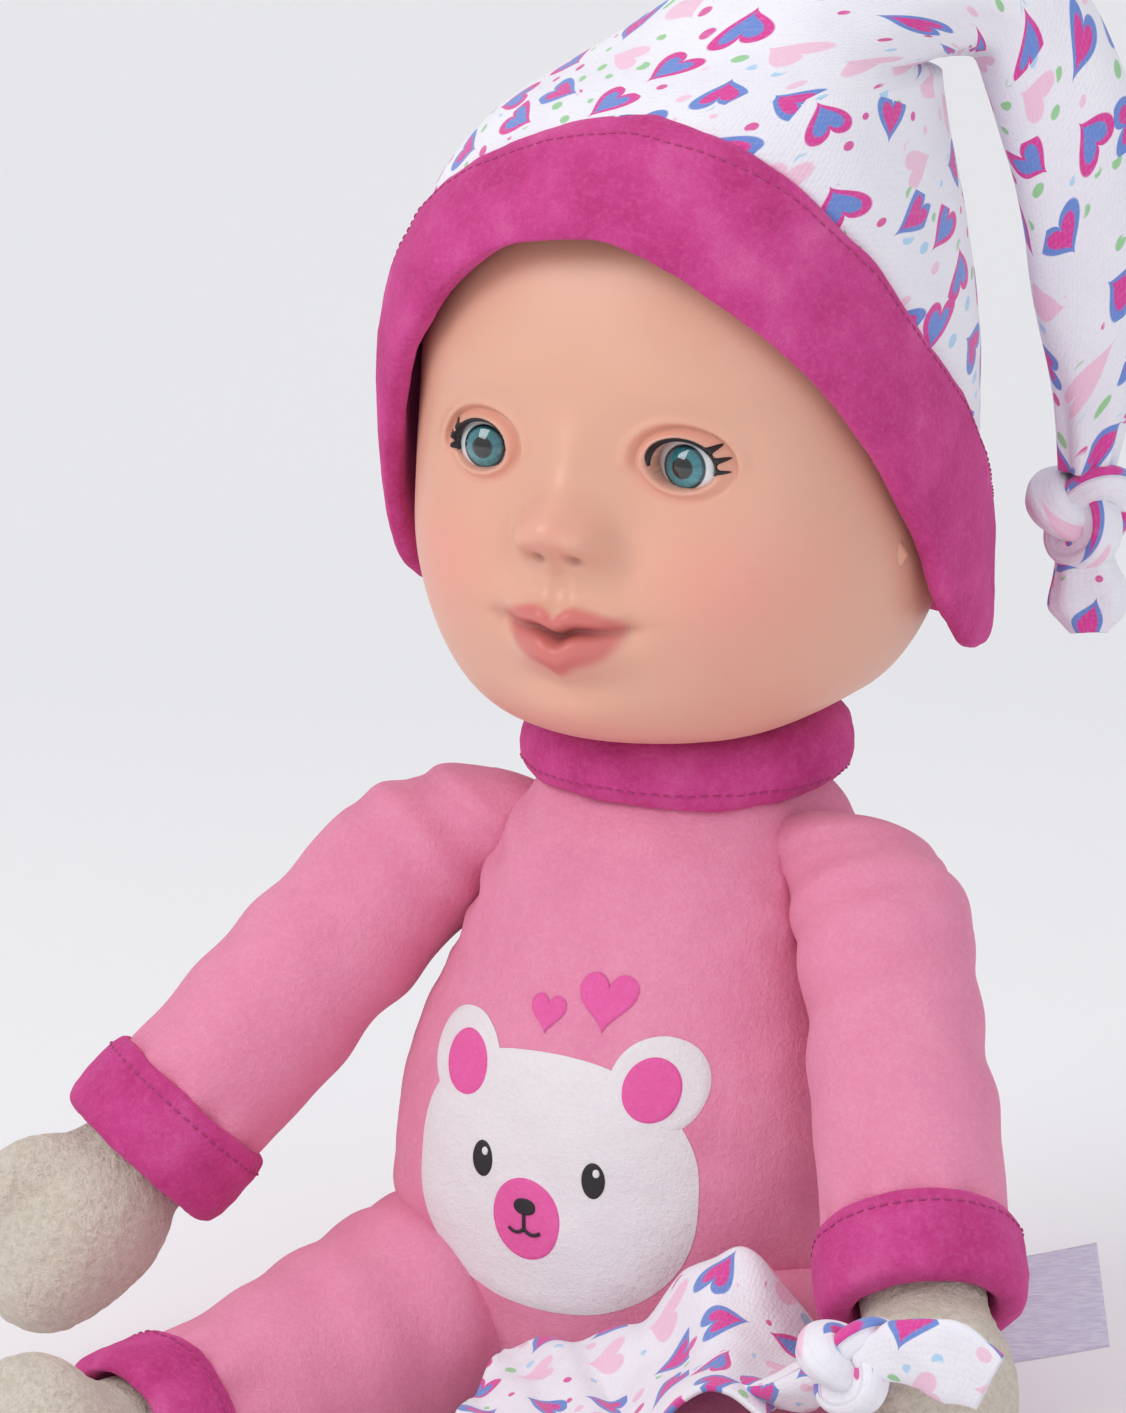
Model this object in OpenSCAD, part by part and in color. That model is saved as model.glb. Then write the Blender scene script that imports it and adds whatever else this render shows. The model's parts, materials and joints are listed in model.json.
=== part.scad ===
// Interactive baby doll: soft body, vinyl head with sleeping eyes, knotted cap, comforter.
// Millimetres. +Z up, the doll faces -Y, its left side is +X.
// Origin: middle of the flat seat the doll sits on.

/* [Head] */
// half width of the head across the cheeks
head_half_w = 51; // [48:0.5:52]
// height of the eye centres above the seat
eye_z = 200; // [198:0.5:202]
// distance of each eye from the middle of the face
eye_x = 21; // [20:0.5:22]
// radius of each eyeball
eye_r = 10; // [9.5:0.1:10.2]
// thickness of the vinyl
vinyl_t = 3.2; // [2.8:0.1:3.4]

/* [Body] */
// half width of the torso at the belly
belly_half_w = 50; // [48:0.5:51]
// radius of the ball end of each sleeve
shoulder_r = 17; // [16:0.25:17]
// radius of the ball end of each trouser leg
hip_r = 21; // [20:0.25:21]
// length from shoulder to wrist cuff
arm_len = 95; // [92:1:97]
// length from hip to ankle cuff
leg_len = 88; // [84:1:90]

/* [Cap] */
// thickness of the folded velour brim
brim_t = 5; // [4:0.25:5.5]
// thickness of the jersey crown
crown_t = 1.8; // [1.6:0.1:2]

/* [Fits] */
// play between a moving soft part and its seat
play = 0.5; // [0.4:0.05:0.7]
// radial play of the eye pins in their bores
pin_play = 0.05; // [0.03:0.01:0.08]

/* [Hidden] */

shoulder = [44, -8, 122];
hip = [33, -24, 22];
left_dir = unit([35.6, -56.4, -66.7]);
right_dir = unit([-46, -46, -66]);
leg_splay = 18;
eye_y = -36.5;
eye_turn = 20;
mz0 = 44;
mz1 = 106;
mx = 25.5;

PINK = [0.93, 0.66, 0.75];
MAGENTA = [0.78, 0.22, 0.50];
BEIGE = [0.87, 0.76, 0.65];
SKIN = [0.95, 0.76, 0.66];
WHITE = [0.95, 0.94, 0.94];
GREY = [0.80, 0.80, 0.82];
DARK = [0.12, 0.11, 0.12];
STEEL = [0.75, 0.76, 0.78];
TEAL = [0.10, 0.45, 0.52];

// ---------- curves and skins ----------

function unit(v) = v / norm(v);
function ramp(a, b, x) = let (t = min(1, max(0, (x - a) / (b - a)))) t * t * (3 - 2 * t);
function bell(x, s) = exp(-(x * x) / (2 * s * s));
function full(v, e) = sign(v) * pow(abs(v), e);
function cr(a, b, c, d, t) =
  0.5 * (2 * b + (c - a) * t + (2 * a - 5 * b + 4 * c - d) * t * t
    + (3 * b - a - 3 * c + d) * t * t * t);
function smooth(rows, n) = let (m = len(rows)) [
  for (i = [0:m - 2]) for (k = [0:n - 1])
    cr(rows[max(i - 1, 0)], rows[i], rows[i + 1], rows[min(i + 2, m - 1)], k / n),
  rows[m - 1]];
function row_at(rows, z) = let (m = len(rows),
    i = max([for (k = [0:m - 2]) if (rows[k][0] <= z || k == 0) k]),
    t = min(1, max(0, (z - rows[i][0]) / (rows[i + 1][0] - rows[i][0]))))
  rows[i] + (rows[i + 1] - rows[i]) * t;
function flip(a) = [for (i = [len(a) - 1:-1:0]) a[i]];

// closed skin through rings of equal count, flat ends
module loft(rings) {
  n = len(rings[0]);
  m = len(rings);
  polyhedron(points = [for (r = rings) for (p = r) p],
    faces = concat([[for (i = [0:n - 1]) i]], [[for (i = [n - 1:-1:0]) (m - 1) * n + i]],
      [for (j = [0:m - 2]) for (i = [0:n - 1]) let (a = j * n + i, b = j * n + (i + 1) % n)
        for (f = [[a, a + n, b], [a + n, b + n, b]]) f]), convexity = 12);
}

// skin through sections that close on themselves
module loop_loft(rings) {
  n = len(rings[0]);
  m = len(rings);
  polyhedron(points = [for (r = rings) for (p = r) p],
    faces = [for (j = [0:m - 1]) for (i = [0:n - 1])
      let (a = j * n + i, b = j * n + (i + 1) % n, k = ((j + 1) % m) * n,
        c = k + i, d = k + (i + 1) % n)
      for (f = [[a, c, b], [c, d, b]]) f], convexity = 12);
}

// one merged mesh of everything inside
module fused() { resize([0, 0, 0]) children(); }

// moves things from +Z along a direction
module aim(at, dir) {
  translate(at) rotate([0, acos(dir[2]), atan2(dir[1], dir[0])]) children();
}

// rounded limb along +Z: rows of [height, half width, half depth, shift x, shift y]
module limb(rows, n = 20, steps = 3) {
  loft([for (r = smooth(rows, steps))
    [for (k = [0:n - 1]) let (a = k * 360 / n)
      [r[3] + r[1] * cos(a), r[4] + r[2] * sin(a), r[0]]]]);
}

// ---------- torso ----------

torso_rows = [
  [0, 38, 32, -4],
  [3, 44, 39, -4],
  [14, belly_half_w - 1, 44, -6],
  [35, belly_half_w, 46.5, -8],
  [60, belly_half_w, 47, -8],
  [82, belly_half_w - 2.5, 44.5, -8],
  [102, belly_half_w - 7.5, 41, -4.5],
  [118, belly_half_w - 13.5, 33.5, -3.5],
  [129, 29, 25.5, -3],
  [134, 24, 22, -2],
  [139, 22.4, 20.6, -1.5]];

module torso_form(grow = 0, n = 36) {
  loft([for (r = smooth(torso_rows, 2))
    [for (k = [0:n - 1]) let (a = k * 360 / n)
      [(r[1] + grow) * cos(a), r[3] + (r[2] + grow) * sin(a), r[0]]]]);
}

module limb_swings() {
  for (s = [-1, 1]) {
    translate([s * shoulder[0], shoulder[1], shoulder[2]])
      sphere(r = shoulder_r + play + 0.4, $fn = 24);
    translate([s * hip[0], hip[1], hip[2]]) sphere(r = hip_r + play + 0.4, $fn = 24);
    for (t = [0, 28, 56, 85])
      translate([s * hip[0], hip[1], hip[2]]) rotate([t, 0, 0])
        rotate([90, 0, s * leg_splay]) cylinder(r = hip_r + play + 0.5, h = 90, $fn = 24);
  }
  for (t = [0, 10, 30, 75]) arm_sweep(left_dir, 1, t);
  for (t = [-20, -10, 0, 16, 44]) arm_sweep(right_dir, -1, t);
}

module arm_sweep(dir, s, t) {
  translate([s * shoulder[0], shoulder[1], shoulder[2]]) rotate([-t, 0, 0])
    aim([0, 0, 0], dir) translate([0, 0, 2])
      cylinder(r = shoulder_r + play + 0.6, h = 100, $fn = 20);
}

module torso() {
  color(PINK) fused() difference() {
    torso_form();
    limb_swings();
    translate([0, 0, 133]) sphere(r = 16 + play, $fn = 28);
    translate([0, 0, 134]) cylinder(r = 17, h = 8, $fn = 28);
    translate([-mx - 0.9, -6.5, mz0 - 0.5])
      cube([2 * mx + 1.8, 60, mz1 - mz0 + 1]);
    translate([0, -6, 92]) rotate([90, 0, 0]) cylinder(r = 8, h = 7, $fn = 32);
  }
}

module collar() {
  rows = [[24, -7], [26.5, -8], [31, -7.4], [33.4, -4], [33, 0], [30.5, 3.6], [26.8, 5],
    [24.4, 3.4], [23.4, -2]];
  color(MAGENTA) fused() difference() {
    translate([0, -1.5, 138]) rotate([3, 0, 0]) scale([1, 0.94, 1])
      rotate_extrude($fn = 40) polygon(rows);
    torso_form(grow = 0.3);
    for (s = [-1, 1])
      translate([s * shoulder[0], shoulder[1], shoulder[2]])
        sphere(r = shoulder_r + play + 0.3, $fn = 40);
    translate([0, 0, 133]) sphere(r = 19.5, $fn = 40);
  }
}

// ---------- print on the belly ----------

module layer(inner, outer, side = -1) {
  intersection() {
    difference() {
      torso_form(grow = outer);
      torso_form(grow = inner);
      limb_swings();
    }
    translate([-60, side < 0 ? -80 : 0, 2]) cube([120, 80, 130]);
    rotate([90, 0, 0]) translate([0, 0, side < 0 ? 0 : -80]) linear_extrude(80) children();
  }
}

module bear_ears(r) {
  translate([-23.5, 80]) circle(r = r, $fn = 20);
  translate([16.5, 81]) circle(r = r, $fn = 20);
}

module bear_muzzle() { translate([-7, 52]) scale([1, 1.05]) circle(r = 8.2, $fn = 28); }

module bear_eyes() {
  for (s = [-1, 1]) translate([-5 + s * 12.5, 62]) scale([0.8, 1.2]) circle(r = 3, $fn = 16);
}

module heart(x, z, s) {
  translate([x, z]) scale(s) rotate(45) {
    square([1, 1], center = true);
    translate([0.5, 0]) circle(r = 0.5, $fn = 16);
    translate([0, 0.5]) circle(r = 0.5, $fn = 16);
  }
}

module bear_face_print() {
  color(WHITE) fused() layer(0.25, 0.75) difference() {
    union() {
      translate([-4, 60]) scale([1, 0.86]) circle(r = 27, $fn = 28);
      bear_ears(8.6);
    }
    offset(0.2) bear_muzzle();
    offset(0.2) bear_ears(5.2);
    offset(0.2) bear_eyes();
  }
}

module bear_pink_print() {
  color(PINK) fused() layer(0.25, 0.75) {
    bear_muzzle_ring();
    bear_ears(5.1);
    heart(-6, 91.5, 5.2);
    heart(6, 95, 7.6);
  }
}

module bear_muzzle_ring() {
  difference() {
    bear_muzzle();
    offset(0.2) bear_nose();
  }
}

module bear_nose() {
  translate([-7, 54]) scale([1.3, 1]) circle(r = 2.4, $fn = 16);
  translate([-7.4, 49]) square([0.8, 4]);
}

module bear_features_print() {
  color(DARK) fused() layer(0.25, 0.75) {
    bear_nose();
    bear_eyes();
  }
}

module care_label() {
  color(GREY) translate([53, -2, 12]) rotate([0, 0, 34]) rotate([0, -8, 0])
    cube([37, 0.8, 22]);
}

// ---------- sound module ----------

module along_y(x, y, z) { translate([x, y, z]) rotate([-90, 0, 0]) children(); }

module module_front_case() {
  color(WHITE) difference() {
    translate([-mx, -6, mz0]) cube([2 * mx, 15, mz1 - mz0]);
    translate([-mx + 1.8, -4.2, mz0 + 1.8]) cube([2 * mx - 3.6, 20, mz1 - mz0 - 3.6]);
    along_y(0, -8, 92) cylinder(r = 7.3, h = 4);
    for (a = [0:60:300])
      along_y(7 * cos(a), -8, 66 + 7 * sin(a)) cylinder(r = 1.4, h = 5);
    along_y(0, -8, 66) cylinder(r = 1.4, h = 5);
  }
}

module module_back_case() {
  color(WHITE) difference() {
    translate([-mx, 9.2, mz0]) cube([2 * mx, 15.8, mz1 - mz0]);
    translate([-24, 12, 50]) cube([35.6, 20, 48]);
    translate([-11, 23.2, 97]) cube([10, 5, 7.4]);
    translate([14.5, 20, 78]) cube([7, 8, 16]);
    along_y(-6, 16, 101.4) cylinder(r = 1.4, h = 12);
    for (z = [52, 100]) {
      along_y(18.5, 8, z) cylinder(r = 1.4, h = 20);
      along_y(18.5, 23.4, z) cylinder(r = 2.8, h = 5);
    }
  }
}

module circuit_board() {
  color([0.10, 0.42, 0.24]) {
    difference() {
      translate([-22, 3.4, 48]) cube([44, 1.6, 54]);
      for (z = [52, 100]) along_y(18.5, 0, z) cylinder(r = 2.4, h = 10);
    }
    translate([-14, 5, 58]) cube([11, 1.8, 11]);
  }
}

module speaker() {
  color(DARK) along_y(0, -4.1, 66) difference() {
    union() {
      cylinder(r = 14, h = 1.4);
      cylinder(r1 = 12.5, r2 = 8, h = 4);
      cylinder(r = 8, h = 6.4);
    }
    translate([0, 0, -0.1]) cylinder(r1 = 11, r2 = 5, h = 3);
  }
}

module cell(x, up) {
  color([0.20, 0.36, 0.62]) translate([x, 17.6, up > 0 ? 52.2 : 96.2])
    rotate([up > 0 ? 0 : 180, 0, 0]) {
      cylinder(r = 5.2, h = 43.2);
      cylinder(r = 1.9, h = 44);
    }
}

module battery_1() { cell(-17.8, 1); }
module battery_2() { cell(-6.6, -1); }
module battery_3() { cell(4.6, 1); }

module contact_top() {
  color(STEEL) translate([-23, 12.4, 96.8]) cube([33.5, 10.2, 0.5]);
}

module contact_bottom() {
  color(STEEL) translate([-23, 12.4, 51.1]) cube([33.5, 10.2, 0.5]);
}

module battery_door() {
  color(WHITE) difference() {
    union() {
      translate([-23.7, 23.3, 50.3]) cube([35, 1.7, 47.4]);
      translate([-10.7, 23.3, 97]) cube([9.4, 1.7, 7.1]);
    }
    along_y(-6, 20, 101.4) cylinder(r = 1.5, h = 8);
    for (z = [55:3:67]) translate([-13, 24.4, z]) cube([14, 2, 1.2]);
  }
}

module screw(h) {
  color(STEEL) difference() {
    union() {
      cylinder(r = 2.5, h = 1.3);
      translate([0, 0, -h]) cylinder(r = 1.35, h = h + 0.5);
    }
    translate([-0.35, -1.6, 0.6]) cube([0.7, 3.2, 2]);
    translate([-1.6, -0.35, 0.6]) cube([3.2, 0.7, 2]);
  }
}

module battery_door_screw() { along_y(-6, 25.05, 101.4) screw(8.5); }
module case_screw_1() { along_y(18.5, 23.45, 52) screw(14); }
module case_screw_2() { along_y(18.5, 23.45, 100) screw(14); }

module press_button() {
  color(MAGENTA) along_y(0, -12, 92) {
    cylinder(r = 7, h = 9);
    translate([0, 0, 8.2]) cylinder(r = 9, h = 1.4);
  }
}

module button_spring() {
  turns = 4;
  n = 10;
  color(STEEL) along_y(0, -2.2, 92) loft([for (k = [0:turns * n])
    let (a = k * 360 / n, z = 0.35 + 4.6 * k / (turns * n))
    [for (q = [0:4]) let (w = q * 72, r = 5 + 0.32 * cos(w))
      [r * cos(a), r * sin(a), z + 0.32 * sin(w)]]]);
}

module power_switch() {
  color(DARK) {
    translate([15, 20.4, 78.8]) cube([6, 2.4, 8.4]);
    translate([16, 22.6, 81]) cube([4, 4, 4]);
  }
}

// ---------- opening in the back ----------

module back_flap() {
  color(PINK) fused() difference() {
    intersection() {
      torso_form();
      translate([-25.4, 25.4, mz0]) cube([51.4, 40, mz1 - mz0]);
    }
    translate([12, 24, 78]) cube([12.5, 3, 15]);
    translate([-10, 24, 97]) cube([8, 2.8, 9]);
  }
}

module back_strip(inner, outer, x, w, z, h) {
  fused() layer(inner, outer, 1) translate([x, z]) square([w, h]);
}

module loop_patch() { color(WHITE) back_strip(0.25, 1.2, -37, 9.5, 68, 14); }
module hook_tab() {
  color(PINK) fused() {
    layer(1.6, 3, 1) translate([-37, 67]) square([20, 16]);
    layer(0.25, 1.7, 1) translate([-24.6, 67]) square([7.6, 16]);
  }
}

// ---------- neck and head ----------

module neck_plug() {
  color(PINK) {
    translate([0, 0, 133]) sphere(r = 16);
    translate([0, 0, 133]) cylinder(r = 15, h = 12.6);
    translate([0, 0, 145]) cylinder(r = 17.4, h = 6.2);
    translate([0, 0, 151]) cylinder(r = 22, h = 3);
  }
}

module neck_tie() {
  color(WHITE) translate([0, 0, 141.4]) {
    difference() {
      cylinder(r = 16.4, h = 2.2);
      translate([0, 0, -1]) cylinder(r = 15.1, h = 5);
    }
  }
}

head_rows = [
  [146, 18, 18, 18],
  [147.4, 25, 31, 24],
  [151, 34, 41.5, 32],
  [157, head_half_w - 9, 46.5, 38],
  [166, head_half_w - 3, 49, 44],
  [178, head_half_w, 50.2, 49.5],
  [192, head_half_w, 50.6, 53],
  [206, head_half_w - 1, 51, 54.5],
  [220, head_half_w - 2.5, 50.5, 53.5],
  [234, head_half_w - 7, 46.5, 49],
  [246, head_half_w - 14.5, 39, 42],
  [255, head_half_w - 25, 27.5, 31],
  [260, 13.5, 14.5, 17],
  [261.6, 4, 4.5, 5]];

function face_relief(x, z) =
  11.5 * bell(x, 4.6) * bell(z - 189, 5) + 4 * bell(x, 3.4) * bell(z - 199, 7)
  + 6.5 * bell(x, 9) * bell(z - 169, 6.5) + 4 * bell(x, 9) * bell(z - 156, 5)
  + 3 * (bell(x - 27, 11) + bell(x + 27, 11)) * bell(z - 173, 11)
  - 2 * (bell(x - eye_x, 7) + bell(x + eye_x, 7)) * bell(z - eye_z - 2, 7);

function head_ring(r, n, grow, relief) = [for (k = [0:n - 1])
  let (a = k * 360 / n, s = sin(a), e = s < 0 ? 0.833 : 1, x = (r[1] + grow) * full(cos(a), e),
    y = (s < 0 ? r[2] + grow : r[3] + grow) * full(s, e))
  [x, y - (s < 0 ? relief * face_relief(x, r[0]) * ramp(0.15, 0.6, -s) : 0), r[0]]];

head_levels = [146, 147.4, 149.4, 152, for (z = [155:3.2:206]) z, for (z = [212:7:254]) z,
  259, 261.6];
head_fine = smooth(head_rows, 6);

module head_shell() {
  t = vinyl_t;
  inner = [for (r = smooth([for (k = [3:13]) let (r = head_rows[k])
    [r[0] - (k < 5 ? 0 : t * (r[0] - 170) / 92), r[1] - t, r[2] - t, r[3] - t]], 1)) r];
  color(SKIN) fused() difference() {
    union() {
      loft(concat(
        [for (r = flip(inner)) head_ring(r, 42, 0, 0.25)],
        [head_ring([154.8, 22.6, 22.6, 22.6], 42, 0, 0)],
        [head_ring([150.6, 22.6, 22.6, 22.6], 42, 0, 0)],
        [head_ring([150.5, 18, 18, 18], 42, 0, 0)],
        [for (z = head_levels) head_ring(row_at(head_fine, z), 42, 0, 1)]));
      for (s = [-1, 1]) ear(s);
    }
    for (s = [-1, 1]) {
      translate([s * eye_x, eye_y, eye_z]) sphere(r = eye_r + 0.55, $fn = 28);
      translate([s * eye_x, eye_y - 4, eye_z]) rotate([90, 0, 0])
        scale([1, 0.82, 1]) cylinder(r = 5.9, h = 20, $fn = 26);
    }
  }
}

module ear(s) {
  translate([s * (head_half_w - 2.6), -6, 182]) rotate([12, 0, s * 18])
    scale([0.38, 0.75, 1.15]) sphere(r = 8, $fn = 20);
}

module eye_place(s) {
  translate([s * eye_x, eye_y, eye_z]) rotate([0, 0, s * eye_turn]) children();
}

module socket() {
  difference() {
    intersection() {
      difference() {
        union() {
          sphere(r = eye_r + 2.6);
          translate([-12.6, 0, 0]) rotate([0, 90, 0]) cylinder(r = 3.4, h = 25.2);
        }
        sphere(r = eye_r + 0.6);
      }
      union() {
        translate([-20, -2.4, -3.4]) cube([40, 6, 40]);
        translate([-20, 3, -0.5]) cube([40, 40, 40]);
      }
    }
    translate([-20, 0, 0]) rotate([0, 90, 0]) cylinder(r = 1.4 + pin_play, h = 40);
  }
}

module left_eye_socket() { color(WHITE) eye_place(1) socket(); }
module right_eye_socket() { color(WHITE) eye_place(-1) socket(); }

module eyeball(s) {
  difference() {
    union() {
      sphere(r = eye_r - 0.1);
      translate([-12.2, 0, 0]) rotate([0, 90, 0]) cylinder(r = 1.4, h = 24.4);
    }
    rotate([0, 0, -s * eye_turn]) translate([0, -7.2, 0]) rotate([90, 0, 0])
      cylinder(r = 4.7, h = 6);
    rotate([10, 0, 0]) translate([0, 0, -14]) cylinder(r = 1.2, h = 6);
  }
}

module left_eyeball() { color(WHITE) eye_place(1) eyeball(1); }
module right_eyeball() { color(WHITE) eye_place(-1) eyeball(-1); }

module lens() {
  intersection() {
    sphere(r = eye_r);
    translate([0, -7.25, 0]) rotate([90, 0, 0]) cylinder(r = 4.65, h = 6);
  }
}

module left_eye_lens() { color(TEAL) translate([eye_x, eye_y, eye_z]) lens(); }
module right_eye_lens() { color(TEAL) translate([-eye_x, eye_y, eye_z]) lens(); }

// metal weight on a stalk below the pins: it opens the eye when the doll sits up
module weight() {
  rotate([10, 0, 0]) {
    translate([0, 0, -13]) cylinder(r = 1.15, h = 4.9);
    translate([0, 0, -16.6]) cylinder(r = 3.4, h = 4);
  }
}

module left_eye_weight() { color(STEEL) eye_place(1) weight(); }
module right_eye_weight() { color(STEEL) eye_place(-1) weight(); }

module lash_outline(s) {
  difference() {
    translate([0, 0.5]) scale([1, 0.86]) circle(r = 7.3, $fn = 28);
    translate([0, -0.5]) scale([1, 0.86]) circle(r = 6.6, $fn = 28);
    translate([-9, -14]) square([18, 13.4]);
  }
  for (a = [16, 32, 48]) rotate(s > 0 ? a : 180 - a) translate([6.6, 0]) scale([1, 0.86])
    polygon([[0, -0.6], [2.6, s > 0 ? -0.4 : 0.4], [0, 0.6]]);
}

module lashes(s) {
  color(DARK) fused() intersection() {
    difference() {
      head_relief_form(0.75);
      head_relief_form(0.3);
    }
    translate([s * eye_x, -30, eye_z]) rotate([90, 0, 0]) linear_extrude(40) lash_outline(s);
  }
}

module head_relief_form(grow) {
  translate([0, -grow, 0]) loft([for (z = [185:3:218]) head_ring(row_at(head_fine, z), 42, 0, 1)]);
}

module left_lashes() { lashes(1); }
module right_lashes() { lashes(-1); }

// ---------- cap ----------

// angle round from the face towards the doll's left, lower edge, upper seam
cap_edge_rows = [
  [-180, 155, 176], [-135, 155, 180], [-110, 156, 188], [-92, 160, 200], [-76, 170, 217],
  [-58, 191, 238], [-40, 216, 252], [-20, 236, 260], [-6, 241, 263], [12, 240, 263],
  [40, 224, 256], [62, 204, 241], [77, 185, 226], [92, 162, 208], [110, 156, 191],
  [135, 155, 180], [180, 155, 176]];

// height, half width, front depth, back depth, shift left, shift back
cap_rows = [
  [140, 52.6, 52.2, 55.8, 0, 0],
  [206, 52.6, 52.2, 55.8, 0, 0],
  [222, 51.4, 51.8, 55.4, 0, 0],
  [238, 48.4, 49.6, 54, 0.5, 0.5],
  [250, 44.5, 46, 50.5, 1.5, 1],
  [262, 37.5, 40.5, 45, 5, 4],
  [271, 28.5, 30, 34.5, 12, 9],
  [279, 18, 18, 20, 22, 18],
  [284, 6, 6, 6, 31, 26]];

function cap_point(q, z, grow) = let (r = row_at(smooth(cap_rows, 3), z),
    g = grow, s = -cos(q), e = s < 0 ? 0.833 + 0.167 * ramp(225, 262, z) : 1)
  [r[4] + (r[1] + g) * full(sin(q), e), r[5] + (s < 0 ? r[2] + g : r[3] + g) * full(s, e), z];
function edge_at(q) = row_at(smooth(cap_edge_rows, 3), q);

module cap_brim() {
  m = 52;
  t = brim_t;
  color(MAGENTA) fused() loop_loft([for (j = [0:m - 1])
    let (q = -180 + j * 360 / m, e = edge_at(q), z = e[1], h = e[2] - e[1])
    [for (p = [[0.2, 2.5], [0.2, h - 2], [1.6, h], [t - 1, h - 0.4], [t, h - 3.5],
        [t + 0.4, h / 2], [t, 3], [t - 1.2, 0.3], [1.6, 0]])
      cap_point(q, z + p[1], p[0])]]);
}

function crown_ring(t, grow, drop = 0) = [for (j = [0:43])
  let (q = -180 + j * 360 / 44, e = edge_at(q), z = e[2] + 0.6 + (283 - e[2]) * t)
  cap_point(q, z, grow) - [0, 0, drop]];

module cap_crown() {
  steps = [0, 0.09, 0.22, 0.38, 0.55, 0.72, 0.87, 1];
  color(WHITE) fused() loft(concat(
    [for (t = flip(steps)) crown_ring(t, 0.6, crown_t * ramp(0.5, 1, t))],
    [for (t = steps) crown_ring(t, 0.6 + crown_t)]));
}

// skin swept along a path: rows of [x, y, z, half width, half depth]
function sweep_rings(rows, ref, n) = let (p = smooth(rows, 3), m = len(p)) [
  for (i = [0:m - 1]) let (r = p[i], a = p[max(i - 1, 0)], b = p[min(i + 1, m - 1)],
    t = unit([b[0] - a[0], b[1] - a[1], b[2] - a[2]]), u = unit(cross(t, ref)),
    v = cross(t, u))
  [for (k = [0:n - 1]) let (w = k * 360 / n)
    [r[0], r[1], r[2]] + r[3] * cos(w) * u + r[4] * sin(w) * v]];

module cap_tail() {
  color(WHITE) fused() difference() {
    loft(sweep_rings([[30, 26, 276, 4, 6], [37, 31, 284, 5, 12], [47, 36, 283, 7, 14],
      [57, 39, 268, 7.5, 13.5], [63, 41, 244, 7.5, 12.5], [66, 41, 222, 7, 11.5],
      [67, 40, 202, 6, 8], [66, 39.5, 190, 5, 5.5], [66, 39.3, 184, 4, 4.5]], [0.75, 0.66, 0.05], 18));
    loft([for (t = [0, 0.2, 0.4, 0.6, 0.8, 0.9, 1]) crown_ring(t, 0.9 + crown_t)]);
    translate([31, 26, 274.6]) cylinder(r = 8.4, h = 10, $fn = 20);
    translate([66, 39, 180]) rotate([8, 14, 0]) scale([1, 0.85, 0.82]) sphere(r = 10, $fn = 20);
  }
}

module cap_knot() {
  color(WHITE) fused() union() {
    translate([66, 39, 180]) rotate([8, 14, 0]) scale([1, 0.85, 0.82]) sphere(r = 9.6, $fn = 20);
    loft(sweep_rings([[66, 39, 178, 4, 4], [68, 37, 170, 3.6, 7], [69, 36, 161, 3.4, 8],
      [69, 36, 155, 2, 4]], [1, 0.3, 0.1], 14));
  }
}

// ---------- arms ----------

module right_arm() {
  translate([-shoulder[0], shoulder[1], shoulder[2]]) aim([0, 0, 0], right_dir) children();
}

module left_arm() { translate(shoulder) aim([0, 0, 0], left_dir) children(); }

module sleeve() {
  r = shoulder_r;
  limb([[-r, 2, 2, 0, 0], [2 - r, 7.6, 7.6, 0, 0], [5.5 - r, 12.5, 12.5, 0, 0],
    [-5, r - 0.8, r - 0.8, 0, 0], [2, r, r, 0, 0], [18, r, r, 0, 0],
    [44, r, r, 0, 0], [60, r + 0.6, r + 0.6, 0, 0], [arm_len - 12, r + 0.4, r + 0.4, 0, 0],
    [arm_len - 8, r - 2, r - 2, 0, 0]], 24, 2);
}

module cuff() {
  a = arm_len - 7.7;
  rotate_extrude() polygon([[12.3, a], [17.4, a], [18.8, a + 2.4], [19, a + 6],
    [18.6, a + 10], [17, a + 12.4], [12.3, a + 12.4]]);
}

module hand(thumb) {
  a = arm_len - 7.7;
  union() {
    limb([[a, 11.9, 11.9, 0, 0], [a + 13, 12, 12, 0, 0], [a + 21, 14.2, 15.6, 0, 0],
      [a + 32, 13, 17, 0, 0], [a + 42, 9.5, 13, 0, 0], [a + 46, 3, 5, 0, 0]], 22, 3);
    rotate(thumb) translate([13, 0, a + 25]) rotate([0, 24, 0]) scale([0.85, 0.85, 1.3])
      sphere(r = 8, $fn = 18);
  }
}

module left_sleeve() { color(PINK) fused() left_arm() sleeve(); }
module right_sleeve() { color(PINK) fused() right_arm() sleeve(); }
module left_cuff() { color(MAGENTA) left_arm() cuff(); }
module right_cuff() { color(MAGENTA) right_arm() cuff(); }
module left_hand() { color(BEIGE) fused() left_arm() rotate(90) hand(115); }
module right_hand() { color(BEIGE) fused() right_arm() hand(180); }

// ---------- legs ----------

module leg_frame(s) {
  translate([s * hip[0], hip[1], hip[2]])
    aim([0, 0, 0], unit([s * sin(leg_splay), -cos(leg_splay), -0.052])) children();
}

module trouser_leg() {
  r = hip_r;
  limb([[-r, 2.4, 2.4, 0, 0], [2.5 - r, 9.5, 9.5, 0, 0], [7 - r, 15.6, 15.6, 0, 0],
    [-6, r - 0.9, r - 0.9, 0, 0], [2, r, r, 0, 0], [18, r - 0.1, r, 0, 0],
    [44, r - 1.2, r, 0, 0], [64, r - 2.3, r - 1, 0, 0],
    [leg_len - 8, r - 3.4, r - 2.6, 0, 0], [leg_len - 4, r - 5, r - 5, 0, 0]], 24, 2);
}

module ankle_cuff() {
  a = leg_len - 3.7;
  rotate_extrude() polygon([[12.3, a], [15.6, a], [16.8, a + 2.4], [17, a + 6],
    [16.6, a + 10], [15, a + 12], [12.3, a + 12]]);
}

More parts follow.
